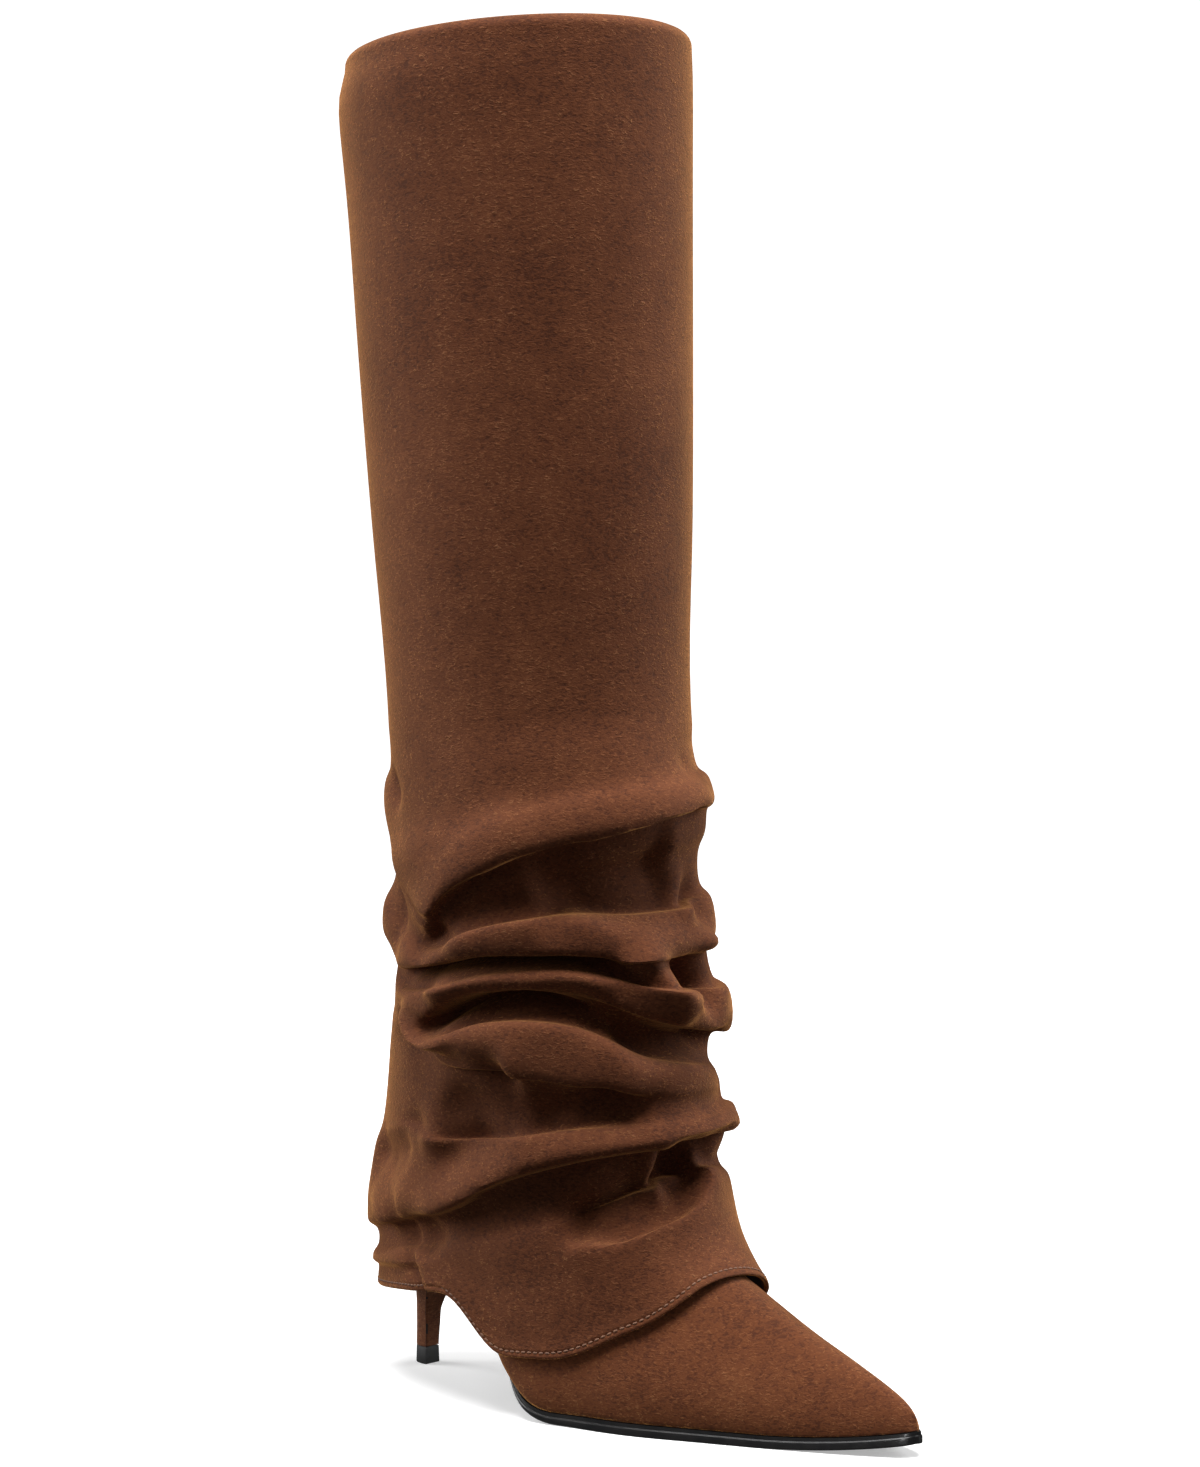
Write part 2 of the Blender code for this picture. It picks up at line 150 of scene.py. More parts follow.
def ridge(out: float, left: float, right: float, *path: tuple) -> Crease:
    """A crease that rises."""
    return Crease(CreaseKind.RIDGE, out, 0.0, left, right, 0.0, path)


def hang(out: float, dig: float, left: float, right: float, droop: float, *path: tuple) -> Crease:
    """A crease whose left stands out and hangs over a gap."""
    return Crease(CreaseKind.HANG, out, dig, left, right, droop, path)


def shelf(out: float, dig: float, left: float, right: float, droop: float, *path: tuple) -> Crease:
    """A crease whose right stands out under a hollow."""
    return Crease(CreaseKind.SHELF, out, dig, left, right, droop, path)


FOOT = (
    FootRow(-84.0, -83.4, 13.0, 0.0, 0.0, 0.0, 0.35, 0.0),
    FootRow(-82.5, -79.5, 16.6, 3.0, 3.0, 1.0, 0.35, 2.5),
    FootRow(-77.0, -72.5, 20.8, 6.2, 6.2, 1.5, 0.35, 5.0),
    FootRow(-63.0, -57.0, 28.0, 11.8, 12.0, 2.5, 0.35, 8.0),
    FootRow(-42.0, -36.0, 36.7, 20.5, 20.0, 4.5, 0.35, 12.0),
    FootRow(-19.0, -13.0, 47.5, 29.5, 28.0, 6.0, 0.35, 16.0),
    FootRow(5.0, 9.0, 59.0, 33.5, 36.5, 6.5, 0.35, 19.0),
    FootRow(26.0, 24.0, 69.0, 30.5, 40.5, 7.0, 0.32, 21.0),
    FootRow(46.0, 34.0, 81.0, 23.0, 43.5, 9.0, 0.10, 24.0),
    FootRow(63.0, 40.0, 93.0, 17.0, 34.0, 26.0, 0.02, 27.0),
    FootRow(82.0, 43.5, 105.5, 16.0, 20.0, 32.0, 0.20, 31.0),
    FootRow(101.0, 45.0, 118.0, 20.5, 21.5, 21.0, 0.42, 34.0),
    FootRow(118.0, 45.0, 128.0, 24.5, 24.5, 17.0, 0.42, 37.0),
    FootRow(131.0, 44.5, 136.5, 21.0, 21.0, 20.0, 0.38, 38.0),
    FootRow(139.0, 44.0, 143.0, 13.0, 13.0, 28.0, 0.30, 39.0),
    FootRow(143.0, 43.5, 149.0, 0.0, 0.0, 40.0, 0.10, 40.0),
)

LEG = (
    LegRow(144.0, 77.0, 42.5, 157.0, 30.0),
    LegRow(140.5, 101.0, 40.5, 170.0, 31.0),
    LegRow(132.5, 136.0, 38.0, 190.0, 32.5),
    LegRow(126.0, 180.0, 36.0, 217.0, 35.0),
    LegRow(122.5, 237.0, 34.5, 263.0, 40.0),
    LegRow(131.0, 330.0, 34.0, 350.0, 46.5),
)

MOULD = (
    MouldRow(500.0, 27.5, 157.0, 59.5, 0.0),
    MouldRow(462.0, 26.9, 154.2, 58.5, 0.0),
    MouldRow(400.0, 25.9, 151.0, 57.0, 0.0),
    MouldRow(300.0, 25.2, 141.5, 54.0, 0.0),
    MouldRow(240.0, 25.4, 135.0, 51.5, 0.0),
    MouldRow(205.0, 18.0, 137.0, 51.5, 0.03),
    MouldRow(180.0, 18.5, 136.0, 51.3, 0.05),
    MouldRow(160.0, 16.5, 137.0, 51.0, 0.08),
    MouldRow(140.0, 13.0, 138.0, 50.5, 0.10),
    MouldRow(120.0, 12.0, 141.0, 50.0, 0.12),
    MouldRow(100.0, 9.0, 144.0, 49.0, 0.14),
    MouldRow(80.0, 7.0, 145.8, 48.0, 0.14),
    MouldRow(60.0, 0.0, 149.0, 47.0, 0.12, 1.5),
    MouldRow(45.0, -9.0, 150.0, 46.5, 0.08, 6.5),
    MouldRow(33.0, -14.6, 149.3, 46.0, 0.05, 7.0),
    MouldRow(15.0, -22.0, 148.5, 45.0, 0.05, 7.0),
)

ANCHORS = (-70, -40, -15, 15, 45, 75, 95, 115, 140, 180, 225, 260)

FOLDS = {
    "smooth_leg": FoldLine(
        (238, 238, 238, 240, 240, 238, 236, 236, 238, 238, 238, 238),
        (0, 0, 0, 0, 0, 0, 0, 0, 0, 0, 0, 0),
    ),
    "pinch": FoldLine(
        (224, 225, 225, 224, 221, 214, 205, 212, 223, 224, 222, 222),
        (-1, -1.5, -1, 0.5, 1, 1, 0.5, 0, -1, -1, -0.5, -0.5),
    ),
    "brow_crest": FoldLine(
        (211, 211, 209, 205.5, 200.5, 188.5, 173, 184, 207, 208, 205, 208),
        (3, 3.5, 4, 5, 5, 4, 3, 0.5, 1.5, 2, 4, 3),
    ),
    "brow_underside": FoldLine(
        (201, 202, 201, 197, 192, 182, 168, 178, 199, 200, 197, 200),
        (0, 0, -5, -8, -7, -3, 0, 0, 0, 0, -1, 0),
    ),
    "brow_gap": FoldLine(
        (186, 186, 183, 180, 179, 173, 162.5, 168, 184, 186, 183, 185),
        (-3, -3, -8.5, -12, -11, -6, -2, -1, -2, -1.5, -4, -4),
    ),
    "upper_roll": FoldLine(
        (166, 166, 162, 162.5, 165, 160.5, 155.5, 154, 165, 166, 165, 166),
        (2, 2.5, 2, 2, 3, 3.5, 3.5, 2.5, 1.5, 1.5, 3, 2),
    ),
    "upper_roll_gap": FoldLine(
        (155, 155, 152, 151, 156, 153.5, 149.5, 145, 151, 152, 152, 154),
        (-3, -2, -4.5, -6, -9, -7.5, -3.5, -2.5, -2, -1.5, -3, -3),
    ),
    "inner_strip": FoldLine(
        (137, 134, 137, 144, 150.5, 148.5, 141, 140, 142, 140, 140, 139),
        (2, 5, 5.5, 3, -4.5, -2, 3, 2, -1, 0, 2, 2),
    ),
    "inner_strip_gap": FoldLine(
        (124, 120, 125, 131, 143, 141, 132, 136.5, 136, 128, 127, 126),
        (-3, -4, -6, -9, -9.5, -7, -0.5, 1.5, -1, -1.5, -3, -3),
    ),
    "broad_band": FoldLine(
        (112, 111, 112, 115.5, 127, 129, 125.5, 132.5, 130, 118, 115, 113),
        (2, -1.5, 0, 2.5, 4.5, 4.5, 4, 1.5, -0.5, 0.5, 2, 2),
    ),
    "broad_band_gap": FoldLine(
        (104, 106, 106, 106, 106.5, 107, 112, 123, 119, 106, 103, 103),
        (-3, -2, -1.5, -0.5, -4, -5, -2.5, -1.5, -0.5, -0.5, -3, -3),
    ),
    "slanting_ridge": FoldLine(
        (96, 99.5, 99, 97.5, 94, 83, 74, 67.5, 60, 56, 72, 90),
        (2, 3.5, 3, 3, 4, 4.5, 4.5, 4.5, 4.5, 5, 3, 2),
    ),
    "slanting_ridge_gap": FoldLine(
        (83, 86, 88, 85, 81, 72, 63, 56, 50, 46, 60, 76),
        (-2.5, -2.5, -8, -11, -6, -3.5, -3, -3.5, -1, 0, -2, -2),
    ),
    "cuff_crest": FoldLine(
        (68, 73, 78, 72, 62, 53, 51, 47, 42.5, 39, 47, 58),
        (1, 1, 0.5, 1.5, 1, 0.5, 0.5, 1.5, 2, 2, 1, 1),
    ),
    "hem": FoldLine(
        (32, 37, 48.4, 49.2, 34, 23.5, 39, 36.5, 33, 30, 27, 27),
        (0, 0, 0, 0, 0.5, 2, 1.5, 0, 0, 0, 0, 0),
    ),
}

CREASES = {
    "brow_lip": hang(
        3.0, 1.0, 9.0, 5.0, 2.5, (-26, 208), (-5, 206), (25, 200), (46, 196), (62, 191), (77, 184),
        (88, 176), (96, 167), (102, 158),
    ),
    "brow_shoulder": ridge(
        2.2, 7.0, 12.0, (56, 208), (69, 200), (79, 197), (92, 195), (111, 190), (127, 186),
    ),
    "brow_pocket": trough(
        5.5, 9.0, 10.0, (-12, 190), (4, 189), (18, 188), (34, 186), (48, 184), (60, 180),
    ),
    "brow_end": trough(2.5, 4.0, 4.0, (92, 169), (99, 161), (105, 154)),
    "roll_swell": ridge(4.5, 9.0, 8.0, (48, 170), (56, 172), (66, 171), (78, 167), (90, 161)),
    "back_tuck": trough(3.0, 4.0, 4.0, (116, 207), (124, 212), (130, 220)),
    "back_loop": trough(2.5, 4.0, 4.0, (124, 153), (121, 163), (121, 173), (123, 183)),
    "back_loop_edge": ridge(2.0, 6.0, 6.0, (136, 154), (137, 168), (136, 182)),
    "brow_tuck": trough(1.6, 3.5, 3.5, (-44, 217), (-26, 216), (-15, 220), (-11, 228)),
    "roll_top": shelf(
        3.0, 3.0, 8.0, 5.0, 0.0, (-30, 164), (-8, 165), (14, 167), (27, 169), (38, 172), (48, 172),
    ),
    "flap_edge": ridge(2.5, 4.0, 4.0, (-6, 164), (-10, 171), (-16, 179), (-22, 188)),
    "flap_hollow": trough(4.5, 5.0, 5.0, (-19, 164), (-24, 172), (-30, 182)),
    "roll_lip": hang(
        2.0, 6.0, 6.0, 3.2, 2.5, (18, 150), (22, 154), (29, 158), (41, 159), (56, 159), (71, 158),
        (82, 156), (96, 153), (122, 149),
    ),
    "roll_bridge": ridge(9.5, 8.0, 8.0, (24, 163), (18, 156), (12, 149), (6, 142), (0, 135)),
    "bridge_root": ridge(5.0, 5.0, 5.0, (19, 154), (14, 152), (9, 149), (4, 146)),
    "roll_pocket": trough(9.0, 4.0, 4.0, (-4, 158), (-7, 150), (-11, 143), (-16, 140)),
    "roll_loop": ridge(3.0, 5.0, 5.0, (-16, 168), (-19, 158), (-22, 148), (-26, 140)),
    "strip_top": shelf(
        2.0, 5.0, 3.5, 5.0, 0.0, (32, 152), (42, 154), (52, 155), (66, 155), (80, 154), (90, 151),
        (103, 148), (120, 146),
    ),
    "strip_swell": ridge(6.0, 4.5, 4.5, (26, 148), (45, 151), (60, 151), (75, 150), (88, 147), (99, 142)),
    "strip_lip": hang(
        1.5, 8.0, 5.0, 3.6, 2.0, (-28, 130), (-2, 132), (18, 135), (28, 137), (40, 142), (57, 147),
        (76, 145), (88, 141), (98, 135), (103, 129),
    ),
    "band_top": shelf(
        3.5, 7.0, 5.0, 5.0, 0.0, (34, 136), (42, 140), (58, 141), (77, 140), (87, 136), (93, 131),
        (96, 126),
    ),
    "crescent": shelf(
        2.5, 6.0, 5.0, 8.0, 0.0, (-32, 124), (-11, 123), (6, 122), (16, 123), (24, 126), (30, 131),
        (34, 137),
    ),
    "band_lip": hang(
        4.5, 7.0, 8.0, 4.0, 3.0, (63, 114), (65, 118), (70, 122), (80, 123), (92, 123), (102, 126),
        (110, 131), (118, 138),
    ),
    "band_dimple": trough(2.5, 4.0, 4.0, (64, 120), (70, 120), (78, 120)),
    "band_edge": hang(
        2.0, 5.0, 9.0, 8.0, 2.0, (18, 110), (28, 113), (36, 115), (45, 114), (56, 112), (68, 111),
        (80, 111), (90, 110), (98, 105),
    ),
    "middle_hollow": trough(3.0, 6.0, 8.0, (18, 104), (32, 106), (46, 106), (62, 104)),
    "side_hollow": trough(4.0, 6.0, 6.0, (74, 100), (82, 95), (90, 89), (97, 81)),
    "side_ridge": ridge(2.0, 5.0, 5.0, (95, 86), (99, 97), (102, 110)),
    "back_hollow": trough(3.0, 6.0, 6.0, (104, 80), (108, 90), (112, 102)),
    "ridge_lip": hang(
        2.5, 2.0, 5.0, 5.5, 2.0, (-52, 95), (-8, 97), (10, 95), (27, 93), (46, 90), (56, 87), (66, 83),
        (76, 78), (86, 72), (96, 67), (105, 64),
    ),
    "ridge_ear": ridge(2.5, 6.0, 5.0, (-66, 103), (-50, 106), (-36, 104)),
    "ridge_back": trough(3.0, 6.0, 5.0, (64, 97), (76, 92), (88, 86), (100, 80), (112, 75)),
    "pocket": trough(5.0, 6.0, 6.0, (-4, 94), (0, 88), (4, 82), (8, 76)),
    "pocket_wall": ridge(5.0, 4.0, 6.0, (15, 72), (15, 80), (13, 87), (8, 94)),
    "pocket_side": ridge(5.0, 5.0, 5.0, (-17, 87), (-24, 91), (-36, 92)),
    "pocket_floor": trough(7.0, 4.0, 5.0, (2, 82), (12, 79), (23, 76), (34, 74), (46, 71), (56, 69)),
    "pocket_lip": shelf(
        1.5, 9.0, 9.0, 9.0, 4.0, (-14, 90), (-8, 82), (-1, 75), (9, 70), (20, 67), (29, 64), (39, 62),
        (48, 62), (58, 64),
    ),
    "cuff_edge": hang(
        2.5, 4.0, 6.0, 5.0, 1.5, (103, 34), (108, 42), (112, 50), (115, 57), (117, 64), (115, 70),
    ),
    "cuff_hollow": trough(4.5, 6.0, 6.0, (100, 50), (106, 56), (110, 62), (110, 67)),
    "back_lip": hang(2.0, 2.5, 4.0, 4.0, 1.0, (121, 53), (130, 57), (140, 60), (155, 62)),
    "back_waist": trough(6.5, 9.0, 6.0, (108, 87), (118, 84), (130, 81), (140, 80), (148, 80)),
    "counter_ease": ridge(0.8, 14.0, 14.0, (150, 90), (180, 90), (230, 90)),
    "back_pinch": trough(2.0, 3.0, 3.0, (119, 69), (125, 75), (131, 82)),
}


@dataclass(frozen=True)
class Curves:
    """Curve formulas that every piece shares."""

    @staticmethod
    def hermite(start: Array, end: Array, leave: Array, arrive: Array, t: Array) -> Array:
        """Cubic from start to end, with the tangents that it leaves and arrives by."""
        rise = t * t * (3.0 - 2.0 * t)
        return start + (end - start) * rise + leave * t * (1.0 - t) ** 2 + arrive * t * t * (t - 1.0)

    @staticmethod
    def spline(knots: Array, values: Array, at: Array) -> Array:
        """Reads a smooth curve through rows of values.

        Args:
            knots: rising places of the rows.
            values: a row of values for each knot.
            at: places to read.

        Returns:
            A row of values for each place.
        """
        knots = np.asarray(knots, float)
        values = np.asarray(values, float)
        at = np.asarray(at, float)
        slopes = np.gradient(values, knots, axis=0)
        first = np.clip(np.searchsorted(knots, at, side="right") - 1, 0, len(knots) - 2)
        shape = at.shape + (1,) * (values.ndim - 1)
        step = (knots[first + 1] - knots[first]).reshape(shape)
        t = (at - knots[first]).reshape(shape) / step
        leave, arrive = slopes[first] * step, slopes[first + 1] * step
        return Curves.hermite(values[first], values[first + 1], leave, arrive, t)

    @staticmethod
    def round_the_leg(values: tuple, angles: Array) -> Array:
        """Reads a smooth closed curve round the leg.

        Args:
            values: a value for each angle in ANCHORS.
            angles: degrees to read it at.

        Returns:
            A value for each angle.
        """
        first = ANCHORS[0]
        knots = [a - 360 for a in ANCHORS[-2:]] + list(ANCHORS) + [a + 360 for a in ANCHORS[:2]]
        rows = values[-2:] + values + values[:2]
        return Curves.spline(knots, rows, (np.asarray(angles, float) - first) % 360 + first)

    @staticmethod
    def turned(angles: Array, about: float) -> Array:
        """Degrees from one angle, the short way round."""
        return (angles - about + 180.0) % 360.0 - 180.0

    @staticmethod
    def fade(low: float, high: float, at: Array) -> Array:
        """Smooth step from 0 at low to 1 at high."""
        t = np.clip((np.asarray(at, float) - low) / (high - low), 0.0, 1.0)
        return t * t * (3.0 - 2.0 * t)


@dataclass(frozen=True)
class Meshes:
    """Turns points into finished objects."""

    merge: float = 0.01
    sharp_angle: float = 40.0

    def sheet(self, points: Array) -> bmesh.types.BMesh:
        """Bends a grid to points.

        Args:
            points: rows of points, as long as each other.

        Returns:
            The sheet, with the edges that meet merged.
        """
        rows, columns = points.shape[:2]
        bm = bmesh.new()
        bmesh.ops.create_grid(bm, x_segments=columns - 1, y_segments=rows - 1, size=1.0)
        for vert, point in zip(bm.verts, points.reshape(-1, 3) * MM):
            vert.co = point
        bmesh.ops.remove_doubles(bm, verts=bm.verts, dist=self.merge * MM)
        return bm

    def loft(self, rings: Array) -> bmesh.types.BMesh:
        """A closed solid through rings of points, with a face at each end."""
        rings = np.asarray(rings, float)
        bm = self.sheet(np.concatenate([rings, rings[:, :1]], axis=1))
        bmesh.ops.holes_fill(bm, edges=[edge for edge in bm.edges if edge.is_boundary])
        bmesh.ops.recalc_face_normals(bm, faces=bm.faces)
        return bm

    def to_object(self, name: str, bm: bmesh.types.BMesh, materials: list) -> bpy.types.Object:
        """Makes a smooth-shaded object of a bmesh.

        Args:
            name: the piece's name.
            bm: its shape, freed here.
            materials: its finishes, in slot order.

        Returns:
            The object, linked to the scene.
        """
        mesh = bpy.data.meshes.new(name)
        bm.to_mesh(mesh)
        bm.free()
        mesh.shade_smooth()
        mesh.set_sharp_from_angle(angle=math.radians(self.sharp_angle))
        for material in materials:
            mesh.materials.append(material)
        obj = bpy.data.objects.new(name, mesh)
        bpy.context.scene.collection.objects.link(obj)
        return obj

    def wall(self, obj: bpy.types.Object, thickness: float) -> None:
        """Gives a sheet its wall, with the second finish inside and the first on the cut edges.

        Args:
            obj: the sheet, which stays the outer face.
            thickness: the wall.
        """
        wall = obj.modifiers.new("wall", "SOLIDIFY")
        wall.thickness = thickness * MM
        wall.offset = -1.0
        wall.use_quality_normals = True
        wall.material_offset = 1
        wall.material_offset_rim = 0


MESHES = Meshes()


def seat(piece: bpy.types.Object, node: str | None = None) -> None:
    """Ties a piece to the boot's body.

    Args:
        piece: the finished piece.
        node: the solid that the piece stands for, if any.
    """
    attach(piece, BODY)
    if node:
        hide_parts(node)
    LOG.info("%s: %d faces", piece.name, len(piece.data.polygons))


class NoiseSize(NamedTuple):
    """The size of a noise: how many to the metre, its finer steps, their strength and its swirl."""

    per_m: float
    detail: float
    rough: float
    swirl: float = 0.0


class Shader:
    """Short calls for placing and joining shader nodes."""

    def __init__(self, tree: bpy.types.NodeTree) -> None:
        """Works on one node tree."""
        self.tree = tree

    def node(self, kind: str, settings: dict | None = None, **inputs: Feed) -> bpy.types.Node:
        """Places a node.

        Args:
            kind: the node's type name.
            settings: its own properties.
            inputs: values or sockets for its inputs, with spaces as underscores.

        Returns:
            The node.
        """
        made = self.tree.nodes.new(kind)
        for key, value in (settings or {}).items():
            setattr(made, key, value)
        for key, value in inputs.items():
            self.feed(made.inputs[key.replace("_", " ")], value)
        return made

    def feed(self, socket: bpy.types.NodeSocket, value: Feed) -> None:
        """Links a socket, or sets its value."""
        if isinstance(value, bpy.types.NodeSocket):
            self.tree.links.new(value, socket)
        else:
            socket.default_value = value

    def math(self, operation: str, first: Feed, second: Feed) -> bpy.types.NodeSocket:
        """A math node on two values."""
        made = self.node("ShaderNodeMath", {"operation": operation})
        self.feed(made.inputs[0], first)
        self.feed(made.inputs[1], second)
        return made.outputs[0]

    def weigh(self, values: tuple, shares: tuple) -> bpy.types.NodeSocket:
        """The sum of values, each times its share."""
        total = self.math("MULTIPLY", values[0], shares[0])
        for value, share in zip(values[1:], shares[1:]):
            total = self.math("ADD", total, self.math("MULTIPLY", value, share))
        return total

    def ramp(
        self, value: Feed, low: float, high: float, start: float = 0.0, end: float = 1.0
    ) -> bpy.types.NodeSocket:
        """A smooth ramp of value from low to high, onto start to end."""
        made = self.node(
            "ShaderNodeMapRange", {"interpolation_type": "SMOOTHSTEP"},
            Value=value, From_Min=low, From_Max=high, To_Min=start, To_Max=end,
        )
        return made.outputs["Result"]

    def mix(self, factor: Feed, first: Feed, second: Feed) -> bpy.types.NodeSocket:
        """A mix of two colours."""
        made = self.node("ShaderNodeMix", {"data_type": "RGBA"}, Factor=factor, A=first, B=second)
        return made.outputs["Result"]

    def noise(self, place: Feed, size: NoiseSize) -> bpy.types.NodeSocket:
        """Noise of one value at a place, drawn out into strokes by its swirl."""
        made = self.node(
            "ShaderNodeTexNoise", None,
            Vector=place, Scale=size.per_m, Detail=size.detail, Roughness=size.rough, Distortion=size.swirl,
        )
        return made.outputs["Fac"]


class Effect:
    """A surface effect that several finishes share: a node group of colour, roughness and height."""

    NAME = ""
    COLOURS: tuple = ()
    VALUES: tuple = ()

    @classmethod
    def get(cls) -> bpy.types.NodeTree:
        """Gives the node group, built once."""
        return bpy.data.node_groups.get(cls.NAME) or cls.build()

    @classmethod
    def build(cls) -> bpy.types.NodeTree:
        """Builds the group: colours and values in, colour, roughness and height out."""
        tree = bpy.data.node_groups.new(cls.NAME, "ShaderNodeTree")
        sockets = [(name, "INPUT", "NodeSocketColor") for name in cls.COLOURS]
        sockets += [(name, "INPUT", "NodeSocketFloat") for name in cls.VALUES]
        sockets += [("Color", "OUTPUT", "NodeSocketColor")]
        sockets += [(name, "OUTPUT", "NodeSocketFloat") for name in ("Roughness", "Height")]
        for name, way, kind in sockets:
            tree.interface.new_socket(name, in_out=way, socket_type=kind)
        shader = Shader(tree)
        given = tree.nodes.new("NodeGroupInput").outputs
        place = tree.nodes.new("ShaderNodeTexCoord").outputs["Object"]
        out = tree.nodes.new("NodeGroupOutput").inputs
        for name, value in cls.fill(shader, given, place).items():
            shader.feed(out[name], value)
        return tree

    @classmethod
    def fill(cls, shader: Shader, given: bpy.types.NodeOutputs, place: bpy.types.NodeSocket) -> dict:
        """Works the effect out.

        Args:
            shader: places the group's nodes.
            given: the group's inputs.
            place: the place on the piece.

        Returns:
            The sockets for Color, Roughness and Height.
        """
        raise NotImplementedError


class Nap(Effect):
    """The suede's effect: nap patches, short fibres and light flecks."""

    NAME = "suede_nap"
    COLOURS = ("Dark", "Middle", "Light", "Fleck")
    VALUES = ("Contrast",)
    PATCHES = NoiseSize(16.0, 2.0, 0.5)
    STROKES = NoiseSize(60.0, 3.0, 0.55)
    MOTTLES = NoiseSize(210.0, 5.0, 0.72)
    FIBRES = NoiseSize(620.0, 2.0, 0.6, 0.9)
    FIBRE_STRETCH = (1.0, 1.0, 2.0)
    PATCH_AND_STROKE = (0.55, 0.45)
    MOTTLE_AND_FIBRE = (0.3, 0.7)
    BROAD_AND_FINE = (0.35, 0.65)
    FIBRE_MOTTLE_FLECK_HEIGHT = (0.9, 0.6, 0.8)
    MID_TONE = 0.5
    DARK_TO_MIDDLE = (0.2, 0.5)
    MIDDLE_TO_LIGHT = (0.5, 0.8)
    FLECK_FIBRES = (0.58, 0.78)
    FLECK_STROKES = (0.35, 0.65)
    FINE_TO_ROUGHNESS = (0.3, 0.7, 0.86, 0.98)

    @classmethod
    def fill(cls, shader: Shader, given: bpy.types.NodeOutputs, place: bpy.types.NodeSocket) -> dict:
        """Works the nap out, as Effect.fill says."""
        patches = shader.noise(place, cls.PATCHES)
        strokes = shader.noise(place, cls.STROKES)
        mottles = shader.noise(place, cls.MOTTLES)
        drawn_out = shader.node("ShaderNodeVectorMath", {"operation": "MULTIPLY"})
        shader.feed(drawn_out.inputs[0], place)
        shader.feed(drawn_out.inputs[1], cls.FIBRE_STRETCH)
        fibres = shader.noise(drawn_out.outputs["Vector"], cls.FIBRES)
        broad = shader.weigh((patches, strokes), cls.PATCH_AND_STROKE)
        fine = shader.weigh((mottles, fibres), cls.MOTTLE_AND_FIBRE)
        tone = shader.weigh((broad, fine), cls.BROAD_AND_FINE)
        lifted = shader.math("MULTIPLY", shader.math("SUBTRACT", tone, cls.MID_TONE), given["Contrast"])
        tone = shader.math("ADD", lifted, cls.MID_TONE)
        low = shader.mix(shader.ramp(tone, *cls.DARK_TO_MIDDLE), given["Dark"], given["Middle"])
        body = shader.mix(shader.ramp(tone, *cls.MIDDLE_TO_LIGHT), low, given["Light"])
        in_strokes = shader.ramp(strokes, *cls.FLECK_STROKES)
        fleck = shader.math("MULTIPLY", shader.ramp(fibres, *cls.FLECK_FIBRES), in_strokes)
        return {
            "Color": shader.mix(fleck, body, given["Fleck"]),
            "Roughness": shader.ramp(fine, *cls.FINE_TO_ROUGHNESS),
            "Height": shader.weigh((fibres, mottles, fleck), cls.FIBRE_MOTTLE_FLECK_HEIGHT),
        }


class Grain(Effect):
    """The smooth leathers' effect: pores, wear and slight unevenness of tone."""

    NAME = "leather_grain"
    COLOURS = ("Dark", "Light")
    VALUES = ("Scale", "Smoothest", "Roughest")
    CLOUD = NoiseSize(60.0, 4.0, 0.6)
    SCUFFS = NoiseSize(420.0, 3.0, 0.7)
    CLOUD_AND_SCUFF = (0.6, 0.4)
    TONE_SPAN = (0.3, 0.7)
    PORE_SPAN = (0.0, 0.45)

    @classmethod
    def fill(cls, shader: Shader, given: bpy.types.NodeOutputs, place: bpy.types.NodeSocket) -> dict:
        """Works the grain out, as Effect.fill says."""
        cloud = shader.noise(place, cls.CLOUD)
        pores = shader.node("ShaderNodeTexVoronoi", {"feature": "F1"}, Vector=place, Scale=given["Scale"])
        tone = shader.weigh((cloud, shader.noise(place, cls.SCUFFS)), cls.CLOUD_AND_SCUFF)
        worn = shader.ramp(tone, *cls.TONE_SPAN)
        gloss = shader.node(
            "ShaderNodeMapRange", None, Value=worn, To_Min=given["Smoothest"], To_Max=given["Roughest"]
        )
        return {
            "Color": shader.mix(worn, given["Dark"], given["Light"]),
            "Roughness": gloss.outputs["Result"],
            "Height": shader.ramp(pores.outputs["Distance"], *cls.PORE_SPAN),
        }


def dress(name: str, effect: type[Effect], inputs: dict, bump_mm: float, surface: dict) -> bpy.types.Material:
    """Makes a material on one of the shared effects.

    Args:
        name: the material's name.
        effect: the effect.
        inputs: values for the effect's inputs, colours as three numbers.
        bump_mm: how high its relief stands.
        surface: values for the surface's own inputs.

    Returns:
        The material.
    """
    material = bpy.data.materials.new(name)
    material.use_nodes = True
    shader = Shader(material.node_tree)
    skin = material.node_tree.nodes["Principled BSDF"].inputs
    group = shader.node("ShaderNodeGroup", {"node_tree": effect.get()})
    for sockets, values in ((group.inputs, inputs), (skin, surface)):
        for socket, value in values.items():
            shader.feed(sockets[socket], (*value, 1.0) if isinstance(value, tuple) else value)
    bump = shader.node("ShaderNodeBump", None, Height=group.outputs["Height"], Distance=bump_mm * MM)
    shader.feed(skin["Base Color"], group.outputs["Color"])
    shader.feed(skin["Roughness"], group.outputs["Roughness"])
    shader.feed(skin["Normal"], bump.outputs["Normal"])
    return material


@dataclass(frozen=True)
class SuedeFinish:
    """Brushed suede: matt, with a soft sheen at grazing angles."""

    name: str
    dark: Colour
    middle: Colour
    light: Colour
    fleck: Colour
    sheen_tint: Colour
    contrast: float = 2.8
    specular: float = 0.2
    sheen: float = 0.9
    sheen_roughness: float = 0.32
    bump_mm: float = 0.3

    def build(self) -> bpy.types.Material:
        """Makes the material."""
        inputs = {"Dark": self.dark, "Middle": self.middle, "Light": self.light, "Fleck": self.fleck}
        surface = {
            "Specular IOR Level": self.specular,
            "Sheen Weight": self.sheen,
            "Sheen Roughness": self.sheen_roughness,
            "Sheen Tint": self.sheen_tint,
        }
        return dress(self.name, Nap, {**inputs, "Contrast": self.contrast}, self.bump_mm, surface)


